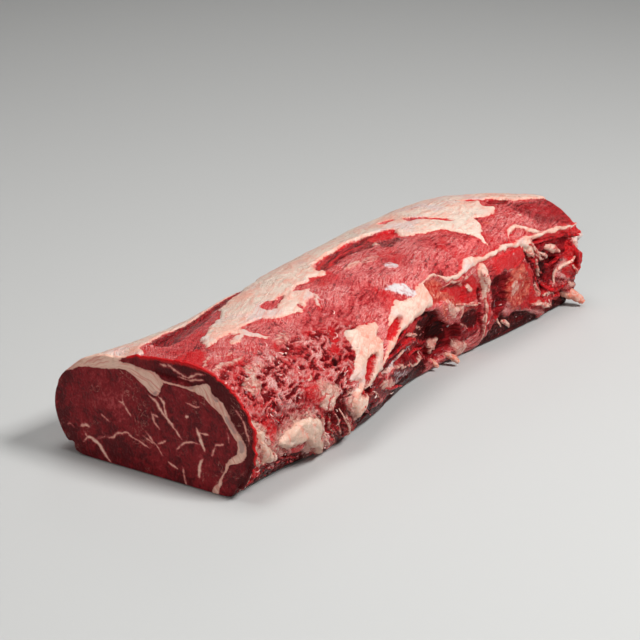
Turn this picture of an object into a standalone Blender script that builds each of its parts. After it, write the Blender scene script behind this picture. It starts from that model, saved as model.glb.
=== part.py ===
"""A boneless beef rib roast, uncut but for its two ends, lying on its flat underside.

One closed solid. The roast is lofted from cross-sections along its length: each section is four superellipse
quarters on a flat foot, from the crown on top round the widest point of the back and the steeper front. That
front is the chine side, where the backbone was cut away and left hollows between stubs of gristle.

Frame: metres, +Z up. +X runs from the near cut face to the far one, -Y is the chine side, and the origin is
the middle of the underside.
"""

import math

import bmesh
import bpy

MM = 0.001

# Driving sizes, in millimetres.
LENGTH = 400.0
CUT_EDGE = 1.6  # how far each cut's edge is rounded

# The form at key stations, from the near cut face (0) to the far one (1). Each line is a station's share of
# the length, then the crown (y, z), the back's widest point (y, z), the foot's back and front edges (y), and
# the front's widest point (y, z), in millimetres. The last two numbers are how square the upper front and the
# upper back are: 2 is an ellipse, more is boxier, and 1 is a straight slant.
STATIONS = (
    (0.00, (-20.0, 75.5), (76.5, 28.0), (57.0, -50.0), (-70.0, 32.0), 2.1, 2.1),
    (0.10, (-20.0, 73.5), (73.5, 28.0), (55.0, -50.0), (-69.0, 31.0), 2.1, 2.0),
    (0.22, (-18.0, 71.5), (70.5, 28.0), (53.0, -55.0), (-72.0, 30.0), 2.2, 2.0),
    (0.36, (-15.0, 76.0), (70.5, 29.0), (53.0, -52.0), (-69.0, 34.0), 2.4, 2.0),
    (0.50, (-12.0, 79.5), (71.0, 30.0), (53.0, -41.0), (-62.0, 44.0), 2.9, 2.0),
    (0.64, (-10.0, 81.5), (71.5, 31.0), (53.0, -41.5), (-58.0, 46.0), 3.2, 2.0),
    (0.78, (-12.0, 82.5), (72.0, 31.0), (53.0, -48.5), (-60.0, 44.0), 3.2, 2.0),
    (0.90, (-16.0, 81.5), (70.0, 31.0), (52.0, -51.0), (-62.0, 44.0), 2.7, 2.0),
    (1.00, (-32.0, 76.0), (67.0, 30.0), (50.0, -52.0), (-63.0, 46.0), 1.4, 2.0),
)
UNDERCUT_SQUARENESS = 1.6

# Hollows and stubs on the chine side: x, height z, half length, half height and depth, in millimetres. The
# depth is how far the surface is pushed in, and a negative one stands out.
CHINE_RELIEF = (
    (-96.0, 24.0, 20.0, 13.0, -4.0),
    (-38.0, 20.0, 26.0, 16.0, 4.0),
    (22.0, 26.0, 26.0, 22.0, 8.0),
    (62.0, 46.0, 15.0, 12.0, 3.0),
    (84.0, 36.0, 5.0, 30.0, -3.5),
    (118.0, 34.0, 20.0, 20.0, 3.5),
    (168.0, 44.0, 16.0, 12.0, 5.0),
)
CHINE_START_Y = -30.0  # the relief fades in from here towards the front
CHINE_FADE = 14.0
FOOT_FADE = 8.0  # and out again this close to the foot

# The far cut is one straight slice that slants back towards the back of the roast. The sections near it turn
# with it, more and more over the last share of the length.
FAR_SLANT = 0.31  # millimetres back for each millimetre across
FAR_PIVOT_Y = -64.0
FAR_REACH = 0.30

# How finely the solid is faceted.
RINGS = 46
CROWDING = 0.35  # 0 spaces the rings evenly, and 1 crowds them at the two cuts
QUARTER_STEPS = 16
FOOT_STEPS = 10

LEAN_COLOUR = (0.30, 0.018, 0.022, 1.0)
LEAN_ROUGHNESS = 0.35


def unit_ramp(value):
    return min(max(value, 0.0), 1.0)


def hermite(a, b, slope_a, slope_b, t):
    """The smooth curve from a to b that leaves and arrives at the two slopes."""
    return (
        (2 * t**3 - 3 * t**2 + 1) * a
        + (t**3 - 2 * t**2 + t) * slope_a
        + (3 * t**2 - 2 * t**3) * b
        + (t**3 - t**2) * slope_b
    )


def station_at(share):
    """The station's ten numbers at a share of the length, on a smooth curve through the key stations."""
    rows = [(at, *crown, *back, *foot, *front, *square) for at, crown, back, foot, front, *square in STATIONS]
    last = len(rows) - 2
    i = max(k for k in range(last + 1) if rows[k][0] <= share)
    before, here, there, after = rows[max(i - 1, 0)], rows[i], rows[i + 1], rows[min(i + 2, last + 1)]
    span = there[0] - here[0]
    numbers = []
    for k in range(1, len(here)):
        slope_here = (there[k] - before[k]) / (there[0] - before[0]) * span
        slope_there = (after[k] - here[k]) / (after[0] - here[0]) * span
        numbers.append(hermite(here[k], there[k], slope_here, slope_there, (share - here[0]) / span))
    return numbers


def quarter(centre, half_width, half_height, squareness, start):
    """Points on a quarter of a superellipse, from an angle in degrees up to but not including its end."""
    points = []
    for k in range(QUARTER_STEPS):
        angle = math.radians(start + 90 * k / QUARTER_STEPS)
        c, s = math.cos(angle), math.sin(angle)
        y = centre[0] + half_width * math.copysign(abs(c) ** (2 / squareness), c)
        z = centre[1] + half_height * math.copysign(abs(s) ** (2 / squareness), s)
        points.append((y, z))
    return points


def section(share):
    """The closed outline (y, z) at a share of the length, from the foot's back edge round over the crown."""
    crown_y, crown_z, back_y, back_z, foot_back, foot_front, front_y, front_z, front_square, back_square = (
        station_at(share)
    )
    outline = quarter((foot_back, back_z), back_y - foot_back, back_z, UNDERCUT_SQUARENESS, -90)
    outline += quarter((crown_y, back_z), back_y - crown_y, crown_z - back_z, back_square, 0)
    outline += quarter((crown_y, front_z), crown_y - front_y, crown_z - front_z, front_square, 90)
    outline += quarter((foot_front, front_z), foot_front - front_y, front_z, UNDERCUT_SQUARENESS, 180)
    for k in range(FOOT_STEPS):
        outline.append((foot_front + (foot_back - foot_front) * k / FOOT_STEPS, 0.0))
    return outline


def chine_push(x, y, z):
    """How far the chine side's relief moves a point along +Y: nothing on top, behind or on the foot."""
    push = 0.0
    for at_x, at_z, half_length, half_height, depth in CHINE_RELIEF:
        distance = ((x - at_x) / half_length) ** 2 + ((z - at_z) / half_height) ** 2
        push += depth * math.exp(-distance)
    return push * unit_ramp((CHINE_START_Y - y) / CHINE_FADE) * unit_ramp(z / FOOT_FADE)


def far_setback(share, y):
    """How far a point lies back from where a square section would have put it."""
    turned = unit_ramp((share - 1 + FAR_REACH) / FAR_REACH) ** 2
    return FAR_SLANT * turned * (y - FAR_PIVOT_Y)


def ring_shares():
    """The rings' shares of the length, with two close together at each cut for its rounded edge."""
    edge = CUT_EDGE / LENGTH
    shares = [0.0, edge]
    for k in range(1, RINGS + 1):
        even = k / (RINGS + 1)
        crowded = 0.5 - 0.5 * math.cos(math.pi * even)
        shares.append(edge + (1 - 2 * edge) * (even + CROWDING * (crowded - even)))
    return [*shares, 1 - edge, 1.0]


def ring_points(share):
    """One ring in millimetres. A cut's own ring is drawn in, all but its foot, to round the cut's edge."""
    outline = section(share)
    ease = CUT_EDGE if share in (0.0, 1.0) else 0.0
    centre_y = sum(y for y, _ in outline) / len(outline)
    centre_z = sum(z for _, z in outline) / len(outline)
    x = (share - 0.5) * LENGTH
    points = []
    for y, z in outline:
        pushed_y = y + chine_push(x, y, z)
        draw = 1 - ease / math.hypot(pushed_y - centre_y, z - centre_z)
        eased_y = centre_y + (pushed_y - centre_y) * draw
        eased_z = z if z < ease else centre_z + (z - centre_z) * draw
        points.append((x - far_setback(share, eased_y), eased_y, eased_z))
    return points


def roast_mesh():
    """Rings bridged into a skin, with a face on each cut, moved so that the origin is in the middle."""
    bm = bmesh.new()
    rings = []
    for share in ring_shares():
        rings.append([bm.verts.new([c * MM for c in point]) for point in ring_points(share)])
    around = len(rings[0])
    for near, far in zip(rings, rings[1:]):
        for k in range(around):
            after = (k + 1) % around
            bm.faces.new((near[k], far[k], far[after], near[after]))
    bm.faces.new(rings[0])
    bm.faces.new(list(reversed(rings[-1])))
    bmesh.ops.triangulate(bm, faces=bm.faces[:])
    bmesh.ops.recalc_face_normals(bm, faces=bm.faces[:])
    middle = [(min(v.co[i] for v in bm.verts) + max(v.co[i] for v in bm.verts)) / 2 for i in (0, 1)]
    bmesh.ops.translate(bm, verts=bm.verts[:], vec=(-middle[0], -middle[1], 0.0))
    mesh = bpy.data.meshes.new("rib_roast")
    bm.to_mesh(mesh)
    bm.free()
    return mesh


def lean_material():
    """Deep red raw beef, moist."""
    material = bpy.data.materials.new("raw_beef")
    material.use_nodes = True
    shader = material.node_tree.nodes["Principled BSDF"]
    shader.inputs["Base Color"].default_value = LEAN_COLOUR
    shader.inputs["Roughness"].default_value = LEAN_ROUGHNESS
    shader.inputs["Metallic"].default_value = 0.0
    return material


for leftover in list(bpy.data.objects):
    bpy.data.objects.remove(leftover, do_unlink=True)

roast = bpy.data.objects.new("rib_roast", roast_mesh())
bpy.context.scene.collection.objects.link(roast)
roast.data.materials.append(lean_material())
roast.data.shade_smooth()
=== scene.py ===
import itertools
import math

import bmesh
import bpy
import numpy as np
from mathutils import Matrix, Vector
from mathutils.bvhtree import BVHTree


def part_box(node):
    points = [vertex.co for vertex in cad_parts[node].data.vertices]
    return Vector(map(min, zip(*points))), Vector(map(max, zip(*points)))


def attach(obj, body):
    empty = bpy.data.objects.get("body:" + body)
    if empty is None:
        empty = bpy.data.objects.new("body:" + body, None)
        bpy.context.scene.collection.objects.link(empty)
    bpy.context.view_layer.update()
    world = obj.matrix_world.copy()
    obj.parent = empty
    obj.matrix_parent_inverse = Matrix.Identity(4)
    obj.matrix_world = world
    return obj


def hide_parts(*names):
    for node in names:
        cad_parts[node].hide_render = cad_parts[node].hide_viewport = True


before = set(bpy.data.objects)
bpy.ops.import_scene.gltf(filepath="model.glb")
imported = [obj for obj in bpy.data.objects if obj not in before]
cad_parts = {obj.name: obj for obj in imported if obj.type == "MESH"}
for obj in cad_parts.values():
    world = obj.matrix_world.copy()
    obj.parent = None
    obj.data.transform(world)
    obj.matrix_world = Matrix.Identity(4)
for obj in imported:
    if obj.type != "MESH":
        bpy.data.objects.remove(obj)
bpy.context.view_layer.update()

scene = bpy.context.scene

# ---------------------------------------------------------------------------------------------------------
# The stage: a plain pale floor under four soft lamps, one high above the roast, a weak one behind it, one out
# from its chine side and one before its near cut. The camera looks at the near cut and along the chine side.
# ---------------------------------------------------------------------------------------------------------
FLOOR_HALF = 3.0
FLOOR_COLOUR = (0.48, 0.48, 0.47, 1.0)
LAMPS = (
    # name, place, aimed at, size, watts
    ("overhead_lamp", (-0.10, 0.10, 1.6), (0.0, 0.0, 0.03), 0.8, 12.0),
    ("back_lamp", (1.15, 0.85, 0.95), (0.0, 0.0, 0.03), 0.5, 2.0),
    ("chine_lamp", (0.12, -1.12, 1.30), (0.0, 0.0, 0.03), 0.45, 30.5),
    ("near_lamp", (-1.9, -0.5, 0.7), (-0.1, 0.0, 0.03), 0.9, 10.0),
)
SKY_LIGHT = 0.05
CAMERA_AIM = (-0.0215, 0.0076, 0.0405)
CAMERA_AZIMUTH = -55.75
CAMERA_ELEVATION = 20.0
CAMERA_DISTANCE = 1.35
CAMERA_LENS = 120.0


def plain_material(name, colour, roughness):
    """A material of one colour and one roughness."""
    material = bpy.data.materials.new(name)
    material.use_nodes = True
    shader = material.node_tree.nodes["Principled BSDF"]
    shader.inputs["Base Color"].default_value = colour
    shader.inputs["Roughness"].default_value = roughness
    return material


bpy.ops.mesh.primitive_plane_add(size=2 * FLOOR_HALF, location=(0.0, 0.0, -0.0001))
floor = bpy.context.active_object
floor.name = "floor"
floor.data.materials.append(plain_material("pale_floor", FLOOR_COLOUR, 0.9))

for name, place, target, size, watts in LAMPS:
    lamp = bpy.data.lights.new(name, "AREA")
    lamp.size = size
    lamp.energy = watts
    lamp_object = bpy.data.objects.new(name, lamp)
    lamp_object.location = place
    lamp_object.rotation_euler = (Vector(target) - Vector(place)).to_track_quat("-Z", "Y").to_euler()
    scene.collection.objects.link(lamp_object)

scene.world = bpy.data.worlds.new("studio")
scene.world.use_nodes = True
scene.world.node_tree.nodes["Background"].inputs["Color"].default_value = (1.0, 0.99, 0.97, 1.0)
scene.world.node_tree.nodes["Background"].inputs["Strength"].default_value = SKY_LIGHT
scene.view_settings.view_transform = "Standard"

azimuth, elevation = math.radians(CAMERA_AZIMUTH), math.radians(CAMERA_ELEVATION)
backwards = Vector(
    (
        math.sin(azimuth) * math.cos(elevation),
        -math.cos(azimuth) * math.cos(elevation),
        math.sin(elevation),
    )
)
camera = bpy.data.objects.new("camera", bpy.data.cameras.new("camera"))
camera.data.lens = CAMERA_LENS
camera.location = Vector(CAMERA_AIM) + backwards * CAMERA_DISTANCE
camera.rotation_euler = (-backwards).to_track_quat("-Z", "Y").to_euler()
scene.collection.objects.link(camera)
scene.camera = camera

# ---------------------------------------------------------------------------------------------------------
# The trimmed roast itself: one long muscle, boned out, lying on its rib side. Its form is read from the solid
# as sections taken square to its length, which turn with the slanting far cut, and then smoothed. A place on
# it is given in millimetres: how far along it lies, and how far round by tape, from a line along the top,
# with the back positive and the chine side negative.
# ---------------------------------------------------------------------------------------------------------
MM = 0.001
LENGTH = 400.0
FAR_SLANT = 0.31
FAR_PIVOT_Y = -64.7
FAR_REACH = 0.30
CORE_Y = -15.0
CORE_Z = 38.0
CUT_ROUNDING = 1.6
CAST_STATIONS = 101
CAST_ANGLES = 240
SOFTEN_ALONG = 1.4
SOFTEN_ROUND = 1.2
ROW_STEP = 0.72
CHINE_TAPE = (-118.0, -36.0)
CHINE_COLUMNS = 124
TOP_TAPE = (-36.0, 75.0)
TOP_COLUMNS = 138
UNDER_COLUMNS = 100

node = "rib_roast"
near_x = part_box(node)[0].x / MM


def ramp(value):
    return np.clip(value, 0.0, 1.0)


def smooth_ramp(value):
    """0 below 0, 1 above 1, and a smooth rise between."""
    t = np.clip(value, 0.0, 1.0)
    return t * t * (3 - 2 * t)


def section_plane(share):
    """Where a section crosses the core, and how far it slants back for each millimetre across."""
    slant = FAR_SLANT * float(ramp((share - 1 + FAR_REACH) / FAR_REACH)) ** 2
    return near_x + share * LENGTH - slant * (CORE_Y - FAR_PIVOT_Y), slant


def soften(values, spread, axis, wrap):
    """A Gaussian blur along one axis of a grid, as many steps wide as spread."""
    reach = int(3 * spread + 1)
    offsets = np.arange(-reach, reach + 1)
    weights = np.exp(-0.5 * (offsets / spread) ** 2)
    weights /= weights.sum()
    pads = [(0, 0)] * values.ndim
    pads[axis] = (reach, reach)
    padded = np.pad(values, pads, mode="wrap" if wrap else "edge")
    total = np.zeros_like(values)
    for k, weight in enumerate(weights):
        total += weight * np.take(padded, range(k, k + values.shape[axis]), axis=axis)
    return total


copy = bmesh.new()
copy.from_mesh(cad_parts[node].data)
bmesh.ops.remove_doubles(copy, verts=copy.verts[:], dist=0.00001)
walls = BVHTree.FromBMesh(copy)
copy.free()

edge_share = (CUT_ROUNDING + 0.2) / LENGTH
cast_shares = np.linspace(edge_share, 1 - edge_share, CAST_STATIONS)
angles = np.arange(CAST_ANGLES) * 2 * math.pi / CAST_ANGLES
reach_out = np.zeros((CAST_STATIONS, CAST_ANGLES))
for i, share in enumerate(cast_shares):
    core_x, slant = section_plane(share)
    core = Vector((core_x, CORE_Y, CORE_Z)) * MM
    for k, angle in enumerate(angles):
        way = Vector((-slant * math.sin(angle), math.sin(angle), math.cos(angle)))
        hit = walls.ray_cast(core, way)[0] - core
        reach_out[i, k] = math.hypot(hit.y, hit.z) / MM
reach_out = soften(reach_out, SOFTEN_ALONG, 0, False)
reach_out = soften(reach_out, SOFTEN_ROUND, 1, True)

row_count = int(round((LENGTH - 2 * CUT_ROUNDING) / ROW_STEP)) + 1
row_shares = np.linspace(CUT_ROUNDING / LENGTH, 1 - CUT_ROUNDING / LENGTH, row_count)
shown_tape = np.concatenate([np.linspace(*CHINE_TAPE, CHINE_COLUMNS)[:-1], np.linspace(*TOP_TAPE, TOP_COLUMNS)])
column_count = len(shown_tape) + UNDER_COLUMNS - 2
skin = np.zeros((row_count, column_count, 3))
tape = np.zeros((row_count, column_count))
girths = np.zeros((row_count, 1))
for i, share in enumerate(row_shares):
    core_x, slant = section_plane(share)
    reach_here = np.array([np.interp(share, cast_shares, reach_out[:, k]) for k in range(CAST_ANGLES)])
    across = reach_here * np.sin(angles)
    ring = np.stack([core_x - slant * across, CORE_Y + across, CORE_Z + reach_here * np.cos(angles)], 1)
    ring[:, 2] = np.maximum(ring[:, 2], 0.0)
    closed = np.vstack([ring, ring[:1]])
    round_tape = np.concatenate([[0.0], np.cumsum(np.linalg.norm(np.diff(closed, axis=0), axis=1))])
    girth = round_tape[-1]
    girths[i] = girth
    under_tape = np.linspace(TOP_TAPE[1], girth + CHINE_TAPE[0], UNDER_COLUMNS)[1:-1]
    tape[i] = np.concatenate([shown_tape, under_tape])
    for axis in range(3):
        skin[i, :, axis] = np.interp(tape[i] % girth, round_tape, closed[:, axis])

lattice = np.random.default_rng(7).random((32, 32, 32))


def lumps(places, size, shift=0.0):
    """Smooth random lumps of a given size in millimetres, from -1 to 1, at places in millimetres."""
    at = places / size + shift
    cell = np.floor(at).astype(int)
    t = at - cell
    t = t * t * (3 - 2 * t)
    total = 0.0
    for corner in itertools.product((0, 1), repeat=3):
        weight = 1.0
        for axis in range(3):
            weight = weight * (t[..., axis] if corner[axis] else 1 - t[..., axis])
        i, j, k = ((cell[..., axis] + corner[axis]) % 32 for axis in range(3))
        total = total + weight * lattice[i, j, k]
    return 2 * total - 1


def rough_lumps(places, size, shift=0.0, octaves=3):
    """Lumps with finer and weaker lumps on them."""
    total, weight = 0.0, 0.0
    for k in range(octaves):
        total = total + lumps(places, size / 2**k, shift + 3.7 * k) / 1.8**k
        weight += 1 / 1.8**k
    return total / weight


def outward(grid):
    """Unit normals of a grid that closes on itself across, pointing out of the roast."""
    along = np.gradient(grid, axis=0)
    wrapped = np.concatenate([grid[:, -1:], grid, grid[:, :1]], axis=1)
    round_it = (wrapped[:, 2:] - wrapped[:, :-2]) / 2
    normals = np.cross(along, round_it)
    return normals / np.linalg.norm(normals, axis=2, keepdims=True)


# ---------------------------------------------------------------------------------------------------------
# What lies on the skin: fat left by the knife, lean showing through it, silverskin, and the chine side's fat
# ridge, film and hollows, with painted shade in its hollows and grooves and a few painted highlights. Each is an
# outline or a line on the skin, along and round in millimetres, with how far its fat stands up from the lean.
# ---------------------------------------------------------------------------------------------------------
FAT_COVERS = {
    # name: (thickness, outline)
    "back_cap": (0.9, ((-204, 27), (-184, 35), (-169, 39), (-152, 44), (-137, 46), (-119, 51), (-106, 56),
                       (-94, 61), (-75, 67), (-50, 73), (-30, 80), (-12, 88), (-12, 118), (-40, 122), (-75, 112),
                       (-104, 116), (-140, 106), (-168, 100), (-188, 94), (-204, 91))),
    "long_cover": (1.1, ((-170, -1), (-161, 9), (-157, 12), (-146, 17), (-135, 24), (-123, 29), (-113, 33),
                         (-103, 41), (-96, 46), (-87, 48), (-80, 51), (-67, 52), (-55, 56), (-45, 60),
                         (-34, 66), (-14, 82), (-14, 118), (20, 112), (52, 120), (84, 112), (120, 116), (150, 108),
                         (204, 112), (204, -22), (189, -22), (180, -20),
                         (169, -17), (158, -17), (155, -8), (148, 0), (137, 0), (131, -6), (130, -10), (134, -14),
                         (130, -18), (120, -20), (111, -18), (106, -15), (101, -20), (93, -28), (86, -34),
                         (83, -40), (80, -29), (76, -20), (75, -12), (68, -7), (58, -4), (50, 1), (46, 7),
                         (51, 13), (55, 17), (50, 24), (42, 29), (32, 31), (20, 33), (7, 32), (-5, 31),
                         (-17, 29), (-26, 24), (-32, 17), (-30, 15), (-32, 12), (-38, 12), (-43, 15),
                         (-49, 14), (-57, 15), (-66, 12), (-64, 7), (-60, 4), (-63, 1), (-68, -4), (-74, -5),
                         (-82, -8), (-83, -3), (-86, -5), (-89, -12), (-95, -7), (-104, -5), (-108, 1),
                         (-114, 5), (-120, 5), (-131, 5), (-138, 3), (-145, 3), (-154, 1), (-164, -1))),
    "long_cover_slip": (0.8, ((-80, -17), (-75, -11), (-69, -5), (-66, -2), (-65, -5), (-70, -9), (-76, -15))),
    "streak_a": (0.5, ((-141, 3), (-152, -3), (-158, -10), (-152, -12), (-146, -8), (-137, 0))),
    "streak_b": (0.5, ((-140, 4), (-139, -6), (-133, -18), (-131, -15), (-133, -5), (-130, 4))),
    "shoulder": (2.2, ((-87, -40), (-80, -42), (-70, -43), (-60, -45), (-61, -50), (-65, -53), (-64, -58),
                       (-67, -64), (-70, -69), (-70, -73), (-81, -74), (-96, -75), (-101, -77), (-93, -80),
                       (-96, -84), (-102, -91), (-106, -87), (-109, -80), (-105, -73), (-100, -69),
                       (-107, -64), (-101, -61), (-91, -55), (-89, -49))),
    "ridge_start": (2.0, ((-71, -71), (-61, -64), (-56, -56), (-49, -50), (-40, -44), (-37, -42), (-30, -41),
                          (-25, -44), (-15, -45), (-8, -41), (1, -40), (3, -48), (1, -55), (-5, -56),
                          (-15, -57), (-26, -57), (-34, -58), (-43, -60), (-55, -65), (-66, -71))),
    "low_near": (3.0, ((-178, -80), (-174, -76), (-166, -75), (-161, -73), (-154, -72), (-145, -74),
                       (-139, -77), (-135, -83), (-133, -93), (-130, -99), (-124, -107), (-128, -108),
                       (-137, -99), (-143, -93), (-149, -89), (-156, -88), (-163, -87), (-171, -85))),
    "near_edge": (1.4, ((-200, -58), (-197, -65), (-192, -69), (-190, -73), (-194, -74), (-197, -70),
                        (-201, -64))),
    "near_finger": (2.2, ((-196, -75), (-192, -73), (-189, -77), (-187, -84), (-189, -89), (-192, -88),
                          (-194, -82))),
    "near_edge_low": (1.8, ((-188, -78), (-183, -84), (-178, -87), (-177, -92), (-182, -93), (-187, -88))),
    "column": (1.8, ((64, -49), (69, -48), (73, -52), (77, -60), (76, -68), (73, -73), (70, -66), (66, -58))),
    "far_knot": (2.2, ((115, -49), (120, -47), (127, -48), (133, -52), (136, -58), (132, -62), (127, -59),
                       (122, -55))),
    "far_patch": (1.2, ((185, -61), (190, -58), (200, -56), (201, -60), (193, -64), (187, -66))),
}
LEAN_ISLANDS = {
    "cover_island": ((-99, 10), (-94, 17), (-87, 18), (-83, 14), (-75, 13), (-82, 9), (-91, 6), (-98, 6)),
    "far_slit": ((74, 17), (81, 25), (84, 17), (88, 8), (93, -3), (91, -8), (88, 0), (84, 10), (80, 14)),
    "far_slit_high": ((65, 32), (71, 38), (78, 32), (74, 30), (69, 31)),
    "far_slit_edge": ((130, 14), (137, 8), (143, 0), (138, 0), (133, 7)),
    "shoulder_gash": ((-96, -74), (-95, -70), (-90, -66), (-84, -63), (-75, -60), (-76, -65), (-82, -69),
                      (-88, -73)),
    "ridge_slit": ((-58, -57), (-49, -52), (-39, -50), (-36, -51), (-42, -56), (-52, -60)),
    "streak_gap": ((-156, -1), (-147, 1), (-140, 0), (-146, -2), (-152, -4)),
}
FAT_LINES = {
    # name: (half width, thickness, points)
    "ridge": (1.4, 2.0, ((-3, -42), (6, -39.5), (15, -40), (24, -45), (36, -47), (48, -46), (57, -43),
                         (66, -44), (73, -46), (82, -46), (94, -46), (104, -46), (112, -48), (121, -47),
                         (128, -48), (140, -50), (156, -50), (170, -51), (182, -51), (201, -51), (214, -51))),
    "ridge_thick": (2.8, 1.6, ((46, -45), (53, -44), (60, -43), (64, -45))),
    "far_arc": (1.4, 1.5, ((107, -46), (109, -40), (115, -38), (124, -38), (131, -42), (138, -46), (146, -49))),
    "membrane_edge": (0.8, 1.0, ((44, -69), (50, -71), (58, -73), (68, -75))),
    "gash_rim": (0.9, 0.6, ((-97, -76), (-88, -75), (-79, -74), (-70, -72))),
    "low_strand": (1.5, 1.8, ((-134, -93), (-130, -100), (-122, -110), (-116, -117))),
    "silver_line": (0.7, 0.5, ((-66, -79), (-55, -79.5), (-40, -78), (-27, -76), (-15, -75))),
}
# deep is darker red lean, partly its own colour and partly painted shade in hollows and under the fat's edges; dark is
# painted shade, near-black lean in grooves and hollows, under overhangs and low by the floor.
LAYERS = ("deep", "bright", "film", "pale", "dark", "silver")
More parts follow.
